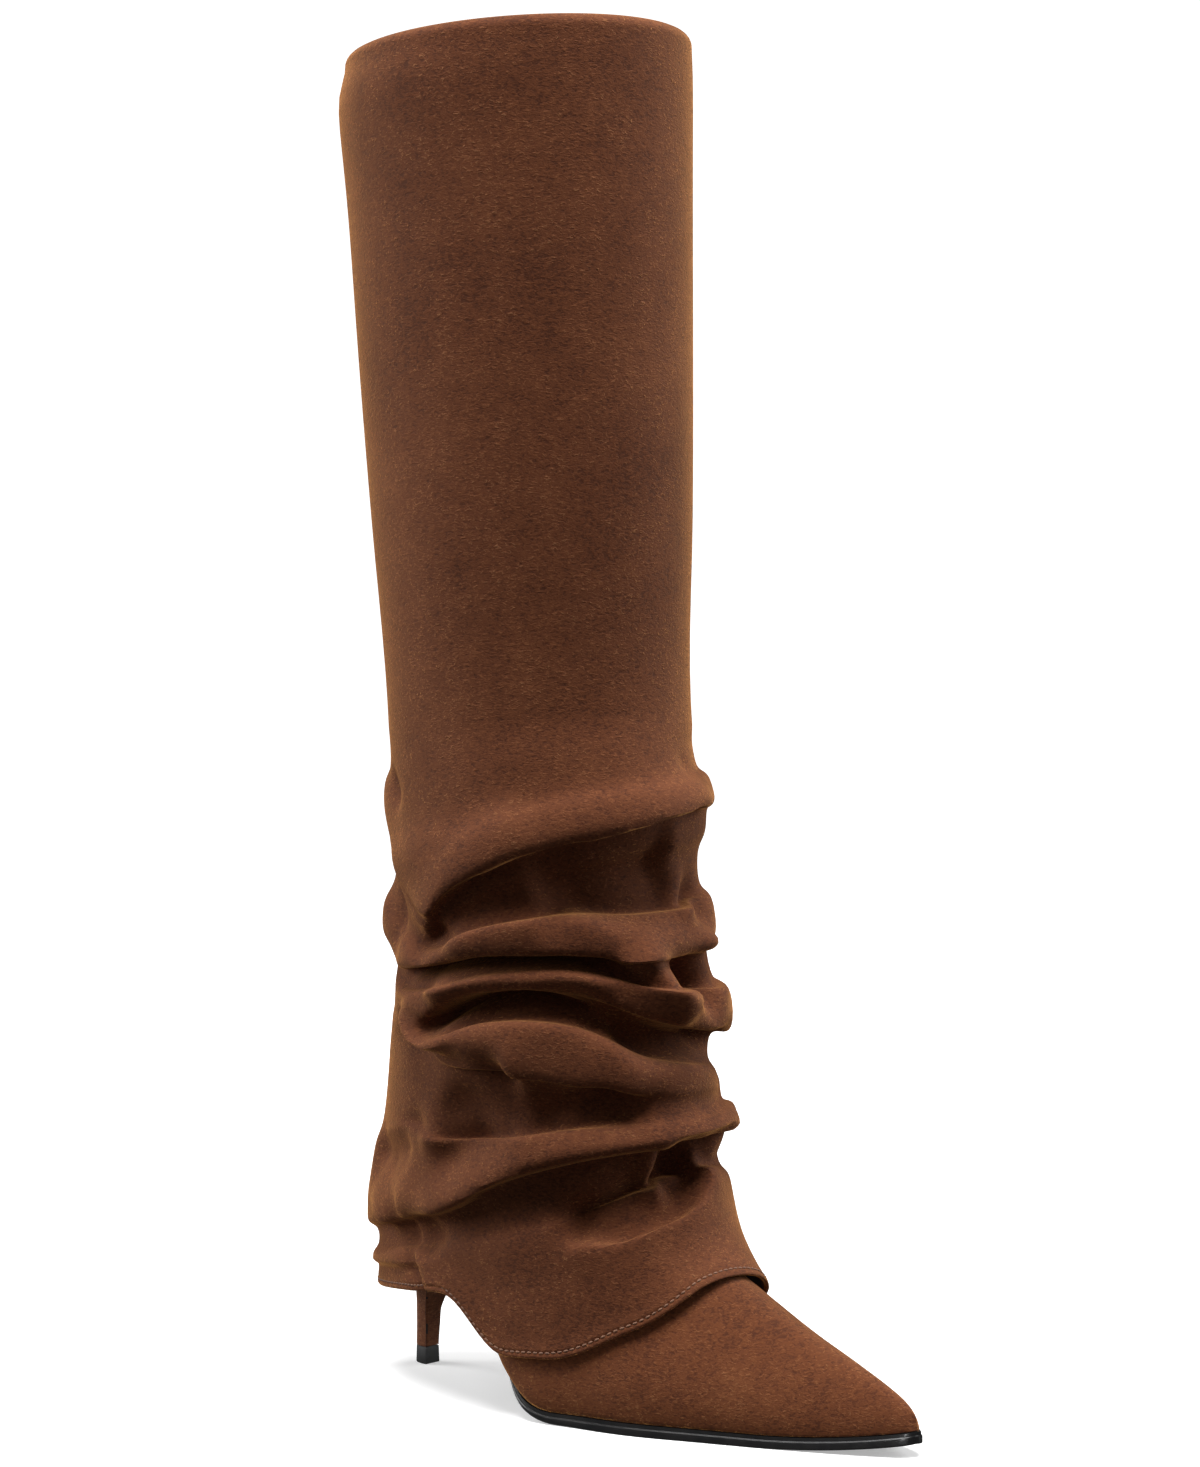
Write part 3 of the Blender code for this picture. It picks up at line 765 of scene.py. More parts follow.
@dataclass(frozen=True)
class LeatherFinish:
    """Smooth leather, rubber or thread: pores, slight wear, and a coat where it is polished."""

    name: str
    dark: Colour
    light: Colour
    pores_per_m: float
    smoothest: float
    roughest: float
    coat: float = 0.0
    coat_roughness: float = 0.2
    bump_mm: float = 0.04

    def build(self) -> bpy.types.Material:
        """Makes the material."""
        inputs = {"Dark": self.dark, "Light": self.light, "Scale": self.pores_per_m}
        inputs |= {"Smoothest": self.smoothest, "Roughest": self.roughest}
        surface = {"Coat Weight": self.coat, "Coat Roughness": self.coat_roughness}
        return dress(self.name, Grain, inputs, self.bump_mm, surface)


SHAFT_SUEDE = SuedeFinish(
    "shaft_suede", (0.064, 0.018, 0.007), (0.116, 0.036, 0.014), (0.168, 0.057, 0.023), (0.22, 0.090, 0.040),
    (0.70, 0.32, 0.10),
)
VAMP_SUEDE = SuedeFinish(
    "vamp_suede", (0.067, 0.019, 0.007), (0.121, 0.037, 0.013), (0.170, 0.058, 0.021), (0.22, 0.088, 0.037),
    (0.70, 0.32, 0.10),
)
# Painted light: the heel's suede is the shaft's suede painted lighter, standing in for the floor's light
# bounced onto the heel.
HEEL_SUEDE_WITH_PAINTED_LIGHT = SuedeFinish(
    "heel_suede_with_painted_light", (0.085, 0.028, 0.012), (0.140, 0.049, 0.021), (0.185, 0.068, 0.030), (0.24, 0.11, 0.055),
    (0.62, 0.36, 0.22), bump_mm=0.15,
)
SUEDE_BACK = LeatherFinish("suede_back", (0.050, 0.018, 0.009), (0.090, 0.034, 0.017), 900.0, 0.85, 0.95)
LINING = LeatherFinish("lining_leather", (0.22, 0.13, 0.075), (0.32, 0.20, 0.12), 700.0, 0.5, 0.65)
SOLE_BLACK = LeatherFinish(
    "sole_black", (0.004, 0.004, 0.005), (0.010, 0.009, 0.009), 1500.0, 0.28, 0.45, coat=0.35
)
TREAD_BLACK = LeatherFinish("tread_black", (0.008, 0.008, 0.008), (0.020, 0.019, 0.018), 1200.0, 0.5, 0.75)
LIFT_BLACK = LeatherFinish("lift_black", (0.003, 0.003, 0.003), (0.007, 0.007, 0.007), 1500.0, 0.6, 0.75)
SEAM_DARK = LeatherFinish("seam_dark", (0.006, 0.004, 0.003), (0.014, 0.008, 0.005), 1500.0, 0.7, 0.85)
THREAD = LeatherFinish("tan_thread", (0.13, 0.056, 0.029), (0.22, 0.105, 0.058), 3000.0, 0.6, 0.8)
SOCK = LeatherFinish("sock_leather", (0.24, 0.14, 0.08), (0.34, 0.21, 0.12), 700.0, 0.45, 0.6)


@dataclass(frozen=True)
class Last:
    """The foot's form: sole line, sections and half widths."""

    toe_tip: float = -84.0
    seat_back: float = 143.0
    toe_break: float = -35.0
    toe_spring: float = 4.5
    tread_back: float = 34.0
    seat_front: float = 107.0
    seat_front_height: float = 43.3
    seat_slope: float = 0.42
    sole_forefoot: float = 4.0
    sole_waist: float = 2.8
    toe_swing: float = 3.0
    gap: float = 0.3
    probe: float = 0.5

    def waist(self, y: Array) -> Array:
        """Share of the way along the waist, from 0 at the tread's back to 1 at the seat's front."""
        run = np.asarray(y, float) - self.tread_back
        return np.clip(run / (self.seat_front - self.tread_back), 0.0, 1.0)

    def tread(self, y: Array) -> Array:
        """Height of the sole's underside."""
        y = np.asarray(y, float)
        sprung = np.clip((self.toe_break - y) / (self.toe_break - self.toe_tip), 0.0, None)
        arrive = self.seat_slope * (self.seat_front - self.tread_back)
        shank = Curves.hermite(0.0, self.seat_front_height, 0.0, arrive, self.waist(y))
        return self.toe_spring * sprung**2 + shank + self.seat_slope * np.clip(y - self.seat_front, 0.0, None)

    def slant(self, y: Array) -> Array:
        """Length of the sole's run for each millimetre along Y."""
        return np.hypot(1.0, (self.tread(y + self.probe) - self.tread(y - self.probe)) / (2.0 * self.probe))

    def sole_top(self, y: Array) -> Array:
        """Height of the sole's upper face."""
        thick = self.sole_forefoot + (self.sole_waist - self.sole_forefoot) * self.waist(y)
        return self.tread(y) + thick * self.slant(y)

    def feather(self, y: Array) -> Array:
        """Height of the upper's lower edge."""
        return self.sole_top(y) + self.gap * self.slant(y)

    def swing(self, y: Array) -> Array:
        """How far the middle of the foot turns inwards towards the toe tip."""
        return self.toe_swing * np.clip(np.asarray(y, float) / self.toe_tip, 0.0, None) ** 2

    def stations(self, per_section: int) -> Array:
        """Places along the sole and the foot's half widths there: y, outer, inner."""
        columns = [(row.sole_y, row.outer, row.inner) for row in FOOT]
        steps = np.linspace(0.0, len(FOOT) - 1, per_section * (len(FOOT) - 1) + 1)
        return Curves.spline(np.arange(len(FOOT)), columns, steps)

    def section(self, row: FootRow, half_points: int) -> Array:
        """Works out one section of the foot.

        Args:
            row: the section's sizes.
            half_points: how many points a side has, with the ridge.

        Returns:
            Points from the outer feather edge over the ridge to the inner one.
        """
        t = np.linspace(0.0, 1.0, half_points)
        low, side, crown = 3 * t * (1 - t) ** 2, 3 * t * t * (1 - t), t**3
        up = row.share * low + side + crown
        halves = []
        for half, sign in ((row.outer, -1.0), (row.inner, 1.0)):
            across = half * (1 - t) ** 3 + (half + row.swell) * low + row.ridge * side
            halves.append(np.stack([sign * across, up], axis=-1))
        loop = np.concatenate([halves[0], halves[1][-2::-1]])
        base = np.array([self.swing(row.sole_y), row.sole_y, self.feather(row.sole_y)])
        top = np.array([self.swing(row.ridge_y), row.ridge_y, row.ridge_z])
        return base + loop[:, 1:] * (top - base) + loop[:, :1] * np.array([1.0, 0.0, 0.0])


LAST = Last()


@dataclass(frozen=True)
class Mould:
    """The smooth form under the shaft's folds."""

    nose_power: int = 4
    probe: float = 0.5

    def point(self, angles: Array, heights: Array) -> Array:
        """Reads the mould.

        Args:
            angles: degrees round the leg.
            heights: heights on the leg.

        Returns:
            A point for each angle and height.
        """
        levels = MOULD[::-1]
        columns = np.array([row[1:] for row in levels])
        read = Curves.spline([row.z for row in levels], columns, heights)
        front, back, half, egg, nose = np.moveaxis(read, -1, 0)
        turn = np.radians(angles)
        x = -half * np.sin(turn) * (1.0 + egg * np.cos(turn))
        y = (front + back) / 2.0 - (back - front) / 2.0 * np.cos(turn)
        y = y - nose * np.clip(np.cos(turn), 0.0, None) ** self.nose_power
        return np.stack([x, y, np.broadcast_to(heights, x.shape)], axis=-1)

    def outwards(self, angles: Array, heights: Array) -> Array:
        """Level unit vectors square to the mould's rings."""
        along = self.point(angles + self.probe, heights) - self.point(angles - self.probe, heights)
        across = np.stack([-along[..., 1], along[..., 0], np.zeros_like(along[..., 0])], axis=-1)
        return across / np.linalg.norm(across, axis=-1, keepdims=True)


MOULDING = Mould()


@dataclass(frozen=True)
class Shaft:
    """The slouched outer leg, from its rolled collar to its stitched hem."""

    wall: float = 1.8
    collar_front: float = 475.8
    collar_back: float = 467.4
    roll_radius: float = 4.0
    back_ease: float = 3.6
    back_ease_reach: float = 8.0
    back_flare: float = 2.8
    back_flare_drop: float = 9.0
    back_flare_reach: float = 32.0
    row_gather: float = 1.5
    lip_drop: float = 2.0
    lip_gap: float = 0.6
    hem_band: float = 6.5
    hem_step: float = 0.7
    hem_dip: float = 8.5
    hem_dip_angle: float = 86.0
    hem_dip_reach: float = 8.0
    roll_rate: float = 0.27
    roll_most: float = 3.4
    columns: int = 190
    near_first: float = -70.0
    near_last: float = 170.0
    near_share: float = 0.74
    row_spacing: float = 1.0
    least_steps: int = 12
    roll_steps: int = 12
    straight_steps: int = 24
    crease_edge: float = 1.3
    crease_points: int = 80
    crease_cutoff: float = 3.0
    crease_fade: float = 8.0
    crease_fade_most: float = 0.3
    droop_reach: float = 5.0
    soften_passes: int = 2
    soften_edge: int = 14
    mm_per_degree: float = 0.93
    stitch_height: float = 2.0
    stitch_pitch: float = 2.4
    stitch_half: float = 0.95
    stitch_thick: float = 0.42
    stitch_lift: float = 0.45
    stitch_samples: int = 1440
    stitch_sides: int = 8
    stitch_rings: int = 6

    def collar_height(self, angles: Array) -> Array:
        """Top of the rolled collar, higher at the front."""
        middle = (self.collar_front + self.collar_back) / 2.0
        return middle + (self.collar_front - self.collar_back) / 2.0 * np.cos(np.radians(angles))

    def collar_rows(self, angles: Array) -> list:
        """Works out the rolled collar and the straight leg.

        Args:
            angles: degrees of the columns.

        Returns:
            Rows of heights and offsets, from the collar's lip downwards.
        """
        middle = self.collar_height(angles) - self.roll_radius
        rows = [(middle - self.lip_drop, np.full_like(middle, -2.0 * self.roll_radius))]
        for step in range(self.roll_steps + 1):
            turn = math.pi * (1.0 - step / self.roll_steps)
            outer = (1.0 + math.cos(turn)) / 2.0
            offset = self.roll_radius * (math.cos(turn) - 1.0) + outer * self.back_shift(angles, 0.0)
            rows.append((middle + self.roll_radius * math.sin(turn), offset))
        start = Curves.round_the_leg(FOLDS["smooth_leg"].heights, angles)
        for step in range(1, self.straight_steps):
            share = (step / self.straight_steps) ** self.row_gather
            drop = (middle - start) * share
            rows.append((middle - drop, self.back_shift(angles, drop)))
        return rows

    def back_shift(self, angles: Array, drop: Array | float) -> Array:
        """How the worn collar leans in at the back and swells a little below its edge."""
        behind = (1.0 - np.cos(np.radians(angles))) / 2.0
        flare = self.back_flare * np.exp(-(((drop - self.back_flare_drop) / self.back_flare_reach) ** 2))
        return behind * (flare - self.back_ease * np.exp(-((drop / self.back_ease_reach) ** 2)))

    def hem_height(self, angles: Array) -> Array:
        """The hem's edge, with its dip on the outer side."""
        away = Curves.turned(angles, self.hem_dip_angle)
        dip = self.hem_dip * np.exp(-((away / self.hem_dip_reach) ** 2))
        return Curves.round_the_leg(FOLDS["hem"].heights, angles) - dip

    def hem_rows(self, height: Array, offset: Array) -> list:
        """Heights and offsets of the turned hem: a stitch groove and a soft bead at the edge."""
        profile = (
            (1.0, 0.0), (0.80, 0.12), (0.62, 0.40), (0.46, 0.60), (0.38, 0.65), (0.31, 0.10), (0.24, 0.65),
            (0.16, 1.0), (0.07, 0.90), (0.0, 0.45),
        )
        return [(height + self.hem_band * up, offset + self.hem_step * out) for up, out in profile]

    def fold_rows(self, angles: Array) -> list:
        """Works out the folds and the hem.

        Args:
            angles: degrees of the columns.

        Returns:
            Rows of heights and offsets, from the smooth leg downwards.
        """
        lines = [
            (Curves.round_the_leg(line.heights, angles), Curves.round_the_leg(line.offsets, angles))
            for line in FOLDS.values()
        ]
        hem_height, hem_offset = self.hem_height(angles), lines[-1][1]
        lines[-1] = (hem_height + self.hem_band, hem_offset)
        rows = []
        for (high, above), (low, below) in zip(lines, lines[1:]):
            roll = np.minimum(1.0 + self.roll_rate * np.abs(above - below), self.roll_most)
            run = (low - high) * roll
            steps = max(self.least_steps, round(float(np.mean(high - low)) / self.row_spacing))
            for step in range(steps):
                t = step / steps
                offset = Curves.hermite(above, below, 0.0, 0.0, t)
                rows.append((Curves.hermite(high, low, run, run, t), offset))
        return rows + self.hem_rows(hem_height, hem_offset)

    def crease_shift(self, crease: Crease, angles: Array, heights: Array) -> tuple[Array, Array, Array]:
        """How a crease moves the suede at each place.

        Args:
            crease: the crease.
            angles: degrees round the leg.
            heights: heights on the leg.

        Returns:
            Millimetres outwards, degrees round the leg and millimetres upwards, zero away from the crease.
        """
        knots = np.arange(len(crease.path))
        along = np.linspace(0.0, knots[-1], self.crease_points)
        line = Curves.spline(knots, np.array(crease.path, float), along)
        reach = self.crease_cutoff * max(crease.left, crease.right)
        middle = line[:, 0].mean()
        turn = Curves.turned(angles, middle) + middle
        near = (turn > line[:, 0].min() - reach) & (turn < line[:, 0].max() + reach)
        near &= (heights > line[:, 1].min() - reach) & (heights < line[:, 1].max() + reach)
        scale = np.array([self.mm_per_degree, 1.0])
        here = np.stack([turn[near], heights[near]], axis=-1) * scale
        path = line * scale
        away = np.linalg.norm(here[:, None] - path[None], axis=-1)
        nearest = away.argmin(axis=1)
        direction = np.gradient(path, axis=0)
        direction /= np.linalg.norm(direction, axis=1, keepdims=True)
        leftwards = np.stack([-direction[:, 1], direction[:, 0]], axis=-1)[nearest]
        side = np.sign(np.einsum("ij,ij->i", here - path[nearest], leftwards))
        signed = side * away.min(axis=1)
        bell = np.exp(-((signed / np.where(signed >= 0.0, crease.left, crease.right)) ** 2))
        step = np.tanh(signed / self.crease_edge)
        stand = np.where(step >= 0.0, crease.out, crease.dig) * step
        hollow = -np.where(step >= 0.0, crease.dig, crease.out) * step
        shape = {
            CreaseKind.TROUGH: -crease.dig,
            CreaseKind.RIDGE: crease.out,
            CreaseKind.HANG: stand,
            CreaseKind.SHELF: hollow,
        }[crease.kind]
        run = np.concatenate([[0.0], np.cumsum(np.linalg.norm(np.diff(path, axis=0), axis=1))])
        fade = min(self.crease_fade, self.crease_fade_most * run[-1])
        ends = Curves.fade(0.0, fade, run[nearest]) * Curves.fade(run[-1], run[-1] - fade, run[nearest])
        sag = -crease.droop * step * np.exp(-((signed / self.droop_reach) ** 2)) * ends
        shifts = np.zeros((3,) + heights.shape)
        shifts[0][near] = shape * bell * ends
        shifts[1][near] = sag * leftwards[:, 0] / self.mm_per_degree
        shifts[2][near] = sag * leftwards[:, 1]
        return tuple(shifts)

    def column_angles(self) -> Array:
        """Angles of the mesh's columns, closer together on the outer side and the front."""
        shares = np.linspace(0.0, 1.0, self.columns + 1)
        turns = (self.near_first, self.near_last, self.near_first + 360.0)
        return np.interp(shares, (0.0, self.near_share, 1.0), turns)

    def surface(self) -> Array:
        """The outer surface as rows of points, from the collar's lip down to the hem."""
        angles = self.column_angles()
        rows = self.collar_rows(angles) + self.fold_rows(angles)
        heights = np.array([row[0] for row in rows])
        offsets = np.array([row[1] for row in rows])
        turns = np.broadcast_to(angles, heights.shape)
        shifts = np.sum([self.crease_shift(crease, turns, heights) for crease in CREASES.values()], axis=0)
        offsets = offsets + shifts[0]
        turns = turns + shifts[1]
        heights = heights + shifts[2]
        points = MOULDING.point(turns, heights) + offsets[..., None] * MOULDING.outwards(turns, heights)
        points[:, -1] = points[:, 0]
        return self.soften(points)

    def soften(self, points: Array) -> Array:
        """Rounds the creases' edges, with the collar and the hem left as they are.

        Args:
            points: rows of points, closed round the leg.

        Returns:
            The softened rows.
        """
        count = len(points)
        rows = np.arange(count)
        inside = Curves.fade(0.0, self.soften_edge, np.minimum(rows - self.roll_steps, count - 1 - rows))
        share = inside[:, None, None]
        ring = points[:, :-1]
        for _ in range(self.soften_passes):
            round_about = (np.roll(ring, 1, axis=1) + np.roll(ring, -1, axis=1)) / 2.0
            ring = ring + share * (round_about - ring) / 2.0
            up_down = ring.copy()
            up_down[1:-1] = (ring[:-2] + ring[2:]) / 2.0
            ring = ring + share * (up_down - ring) / 2.0
        return np.concatenate([ring, ring[:, :1]], axis=1)

    def build(self) -> None:
        """Makes the sleeve and its stitches."""
        points = self.surface()
        sleeve = MESHES.to_object("sleeve", MESHES.sheet(points), [SHAFT_SUEDE.build(), SUEDE_BACK.build()])
        MESHES.wall(sleeve, self.wall)
        seat(sleeve, "shaft")
        self.build_stitches()

    def hem_line(self, angles: Array) -> Array:
        """The stitch line's points, in the groove above the hem's edge."""
        height = self.hem_height(angles) + self.stitch_height
        offset = Curves.round_the_leg(FOLDS["hem"].offsets, angles) + self.stitch_lift * self.hem_step
        return MOULDING.point(angles, height) + offset[:, None] * MOULDING.outwards(angles, height)

    def build_stitches(self) -> None:
        """Makes the row of thread stitches above the hem."""
        fine = np.linspace(0.0, 360.0, self.stitch_samples + 1)
        line = self.hem_line(fine)
        run = np.concatenate([[0.0], np.cumsum(np.linalg.norm(np.diff(line, axis=0), axis=1))])
        count = int(run[-1] / self.stitch_pitch)
        bm = bmesh.new()
        for place in (np.arange(count) + 0.5) * run[-1] / count:
            ends = [np.interp(place + shift, run, fine) for shift in (-self.stitch_half, self.stitch_half)]
            start, end = (Vector(point) for point in self.hem_line(np.array(ends)))
            along = (end - start).normalized()
            out = Vector(MOULDING.outwards(np.array(ends[:1]), np.array([start.z]))[0])
            across = along.cross(out).normalized()
            out = across.cross(along)
            turn = Matrix((along, across, out)).transposed().to_4x4()
            size = Matrix.Diagonal((self.stitch_half, self.stitch_thick, self.stitch_thick, 1.0))
            matrix = Matrix.Scale(MM, 4) @ Matrix.Translation((start + end) / 2.0) @ turn @ size
            bmesh.ops.create_uvsphere(
                bm, u_segments=self.stitch_sides, v_segments=self.stitch_rings, radius=1.0, matrix=matrix
            )
        stitches = MESHES.to_object("hem_stitches", bm, [THREAD.build()])
        seat(stitches)


@dataclass(frozen=True)
class Upper:
    """Vamp, counter and fitted inner leg in one wall, suede outside and lining inside."""

    wall: float = 1.8
    half_points: int = 40
    rows_per_section: int = 6

    def leg_section(self, row: LegRow) -> Array:
        """Points round the leg at one ring, from the back over the outer side and front to the back again."""
        angle = np.linspace(0.0, 2.0 * math.pi, 2 * self.half_points - 1)
        share = (1.0 - np.cos(angle)) / 2.0
        y = row.back_y + (row.front_y - row.back_y) * share
        z = row.back_z + (row.front_z - row.back_z) * share
        return np.stack([-row.half * np.sin(angle), y, z], axis=-1)

    def leg_rim(self, shaft: Shaft) -> LegRow:
        """The inner leg's top ring, straight below the collar's lip."""
        inset = 2.0 * shaft.roll_radius - self.wall
        drop = shaft.roll_radius + shaft.lip_drop + shaft.lip_gap
        front = MOULDING.point(0.0, shaft.collar_front)
        back = MOULDING.point(180.0, shaft.collar_back)
        side = MOULDING.point(90.0, shaft.collar_height(90.0))
        low, high = shaft.collar_back - drop, shaft.collar_front - drop
        return LegRow(back[1] - inset, low, front[1] + inset, high, -side[0] - inset)

    def surface(self, shaft: Shaft) -> Array:
        """Works out the outer surface.

        Args:
            shaft: the outer leg, whose collar the inner leg ends under.

        Returns:
            Rows of points, from the toe tip over the heel seat to the leg's rim.
        """
        foot_count = self.rows_per_section * (len(FOOT) - 1) + 1
        sections = [LAST.section(row, self.half_points) for row in FOOT]
        sections += [self.leg_section(row) for row in LEG + (self.leg_rim(shaft),)]
        knots = np.arange(len(sections))
        steps = np.linspace(0.0, knots[-1], self.rows_per_section * (len(sections) - 1) + 1)
        points = Curves.spline(knots, np.array(sections), steps)
        foot = points[:foot_count]
        middle = self.half_points - 1
        up = (foot[:, :, 2:] - foot[:, :1, 2:]) / (foot[:, middle, None, 2:] - foot[:, :1, 2:])
        foot[:, :, 2:] += (LAST.feather(foot[:, :1, 1:2]) - foot[:, :1, 2:]) * (1.0 - up)
        leg = points[foot_count - 1 :]
        leg[:, 0, 0] = 0.0
        leg[:, -1, 0] = 0.0
        return points

    def build(self, shaft: Shaft) -> None:
        """Makes the upper."""
        bm = MESHES.sheet(self.surface(shaft))
        upper = MESHES.to_object("vamp_and_leg", bm, [VAMP_SUEDE.build(), LINING.build()])
        MESHES.wall(upper, self.wall)
        seat(upper, "upper")


@dataclass(frozen=True)
class Outsole:
    """The thin black sole, with its rand, rounded edge and plain tread."""

    edge: float = 1.2
    rand_inset: float = 0.7
    rand_height: float = 1.3
    nick_depth: float = 0.15
    nick_above: float = 0.1
    nick_below: float = 0.05
    rounding: float = 0.5
    waist_bevel: float = 1.8
    waist_from: float = 15.0
    waist_to: float = 45.0
    rows_per_section: int = 8
    corner_steps: int = 4
    face_steps: int = 8
    tread_facing: float = -0.6

    def corner(self, x: float, z: float, start: float, radius: float) -> list:
        """A quarter round about a point, from the angle start downwards."""
        steps = range(self.corner_steps + 1)
        turns = [math.radians(start + 90.0 * step / self.corner_steps) for step in steps]
        return [(x + radius * math.cos(turn), z + radius * math.sin(turn)) for turn in turns]

    def profile(self, left: float, right: float, low: float, high: float, under: float) -> list:
        """The sole's outline across the foot, once round from the outer top edge.

        Args:
            left: the outer side.
            right: the inner side.
            low: height of the tread.
            high: height of the upper face.
            under: rounding of the lower edge.

        Returns:
            Pairs of places across the foot and heights.
        """
        step = high - self.rand_height
        soft = self.rounding
        side = [(self.rand_inset, high), (self.rand_inset, step + self.nick_above)]
        side += [(self.rand_inset - self.nick_depth, step - self.nick_below)]
        side += self.corner(soft, step - soft, 90.0, soft)
        side += self.corner(under, low + under, 180.0, under)
        outer = [(left + x, z) for x, z in side]
        inner = [(right - x, z) for x, z in side]
        shares = np.linspace(0.0, 1.0, self.face_steps + 1)[1:-1]
        below = [(outer[-1][0] + (inner[-1][0] - outer[-1][0]) * share, low) for share in shares]
        over = [(inner[0][0] + (outer[0][0] - inner[0][0]) * share, high) for share in shares]
        return outer + below + inner[::-1] + over

    def build(self) -> None:
        """Makes the sole."""
        tip = self.rand_inset - self.edge + LAST.gap
        first = [(LAST.toe_tip - self.edge, tip, tip)]
        last = [(LAST.seat_back + self.edge, tip, tip)]
        rings = []
        for y, outer, inner in np.concatenate([first, LAST.stations(self.rows_per_section), last]):
            low, high = float(LAST.tread(y)), float(LAST.sole_top(y))
            bevel = self.rounding + self.waist_bevel * float(Curves.fade(self.waist_from, self.waist_to, y))
            bevel = min(bevel, high - low - self.rand_height - self.rounding)
            outline = self.profile(-(outer + self.edge), inner + self.edge, low, high, bevel)
            rings.append([(float(LAST.swing(y)) + x, y, z) for x, z in outline])
        bm = MESHES.loft(np.array(rings))
        bm.normal_update()
        for face in bm.faces:
            face.material_index = 1 if face.normal.z < self.tread_facing else 0
        sole = MESHES.to_object("sole", bm, [SOLE_BLACK.build(), TREAD_BLACK.build()])
        seat(sole, "outsole")


@dataclass(frozen=True)
class Heel:
    """The slim covered heel and the black lift under it."""

    lift: float = 6.2
    top_breast: float = 110.0
    top_back: float = 142.6
    top_half: float = 22.0
    seam_width: float = 0.5
    seam_depth: float = 0.25
    seam_most: float = 0.4
    seam_lead: float = 0.35
    breast_end: float = 0.97
    arc_points: int = 40
    breast_points: int = 14
    rows_per_ring: int = 8
    lift_flare: float = 0.15
    lift_bevel: float = 0.35
    lift_ease: float = 0.12
    lift_ease_drop: float = 0.2
    lift_foot: float = 0.08

    def rows(self) -> list:
        """The heel's rings from its seat to its tip."""
        breast_z, back_z = (float(LAST.tread(y)) - LAST.gap for y in (self.top_breast, self.top_back))
        tip = self.lift + LAST.gap
        return [
            HeelRow(self.top_breast, breast_z, self.top_back, back_z, self.top_half),
            HeelRow(118.0, 36.0, 141.8, 48.0, 15.0),
            HeelRow(128.5, 29.0, 141.0, 36.0, 7.6),
            HeelRow(132.4, 21.5, 140.4, 26.0, 4.5),
            HeelRow(133.0, 14.0, 140.4, 16.0, 3.7),
            HeelRow(133.4, tip, 140.6, tip, 3.4),
        ]

    def arc(self, row: HeelRow) -> Array:
        """Points over the back of one ring, from the inner breast corner to the outer one."""
        turn = np.linspace(0.0, math.pi, self.arc_points)
        y = row.breast_y + (row.back_y - row.breast_y) * np.sin(turn)
        z = row.breast_z + (row.back_z - row.breast_z) * np.sin(turn)
        return np.stack([row.half * np.cos(turn), y, z], axis=-1)

    def ring(self, row: HeelRow) -> Array:
        """Points round one ring: over the back, then along the breast with its seam."""
        seam = min(self.seam_width / row.half, self.seam_most)
        flat = np.linspace(-1.0 + 2.0 * seam, self.breast_end, self.breast_points)
        across = np.concatenate([[-1.0 + self.seam_lead * seam, -1.0 + seam], flat])
        y = np.full_like(across, row.breast_y)
        y[:2] += self.seam_depth
        breast = np.stack([row.half * across, y, np.full_like(across, row.breast_z)], axis=-1)
        return np.concatenate([self.arc(row), breast])

    def build(self) -> None:
        """Makes the heel block and its lift."""
        rows = np.array(self.rows(), float)
        knots = np.arange(len(rows))
        steps = np.linspace(0.0, knots[-1], self.rows_per_ring * knots[-1] + 1)
        rings = np.array([self.ring(HeelRow(*row)) for row in Curves.spline(knots, rows, steps)])
        bm = MESHES.loft(rings)
        bm.verts.ensure_lookup_table()
        columns = rings.shape[1]
        seam = set(range(self.arc_points - 1, self.arc_points + 2))
        for face in bm.faces:
            face.material_index = 1 if {vert.index % columns for vert in face.verts} <= seam else 0
        # The heel's suede is painted lighter, as painted light from the floor.
        heel = MESHES.to_object("heel_block", bm, [HEEL_SUEDE_WITH_PAINTED_LIGHT.build(), SEAM_DARK.build()])
        seat(heel, "heel")
        self.build_lift(HeelRow(*rows[-1]))

    def build_lift(self, tip: HeelRow) -> None:
        """Makes the black lift, with its edges slightly rounded."""
        flare, soft = self.lift_flare, self.lift_bevel
        levels = (
            (self.lift, -self.lift_ease),
            (self.lift - self.lift_ease_drop, 0.0),
            (soft, flare),
            (self.lift_foot, flare - self.lift_ease),
            (0.0, flare - soft),
        )
        rings = [
            self.arc(HeelRow(tip.breast_y - out, z, tip.back_y + out, z, tip.half + out)) for z, out in levels
        ]
        lift = MESHES.to_object("lift", MESHES.loft(np.array(rings)), [LIFT_BLACK.build()])
        seat(lift, "top_lift")


@dataclass(frozen=True)
class Insole:
    """The board and its leather sock inside the upper."""

    thick: float = 2.2
    clearance: float = 1.3
    wall: float = 1.8
    least_half: float = 7.0
    rows_per_section: int = 6
    crown_steps: int = 10
    crown: float = 0.5
    crown_power: int = 4

    def build(self) -> None:
        """Makes the sock, slightly crowned across the foot."""
        places = LAST.stations(self.rows_per_section)
        slopes = np.gradient(places[:, 1:], places[:, 0], axis=0)
        halves = places[:, 1:] - (self.wall + self.clearance) * np.hypot(1.0, slopes)
        share = np.linspace(0.0, 1.0, self.crown_steps + 1)
        sunk = self.crown * (2.0 * share - 1.0) ** self.crown_power
        rings = []
        for y, outer, inner in np.column_stack([places[:, 0], halves]):
            if min(outer, inner) < self.least_half:
                continue
            low = float(LAST.feather(y))
            high = low + self.thick * float(LAST.slant(y))
            top = zip(inner + (-outer - inner) * share, high - sunk)
            ring = [(-outer, low), (inner, low), *top]
            rings.append([(float(LAST.swing(y)) + x, y, z) for x, z in ring])
        sock = MESHES.to_object("sock", MESHES.loft(np.array(rings)), [SOCK.build()])
        seat(sock, "insole")


class LightPlace(NamedTuple):
    """A soft studio light: where it hangs, what it points at, its size, its spread and its strength."""

    name: str
    place_m: tuple
    aim_m: tuple
    width_m: float
    height_m: float
    spread_degrees: float
    power_w: float


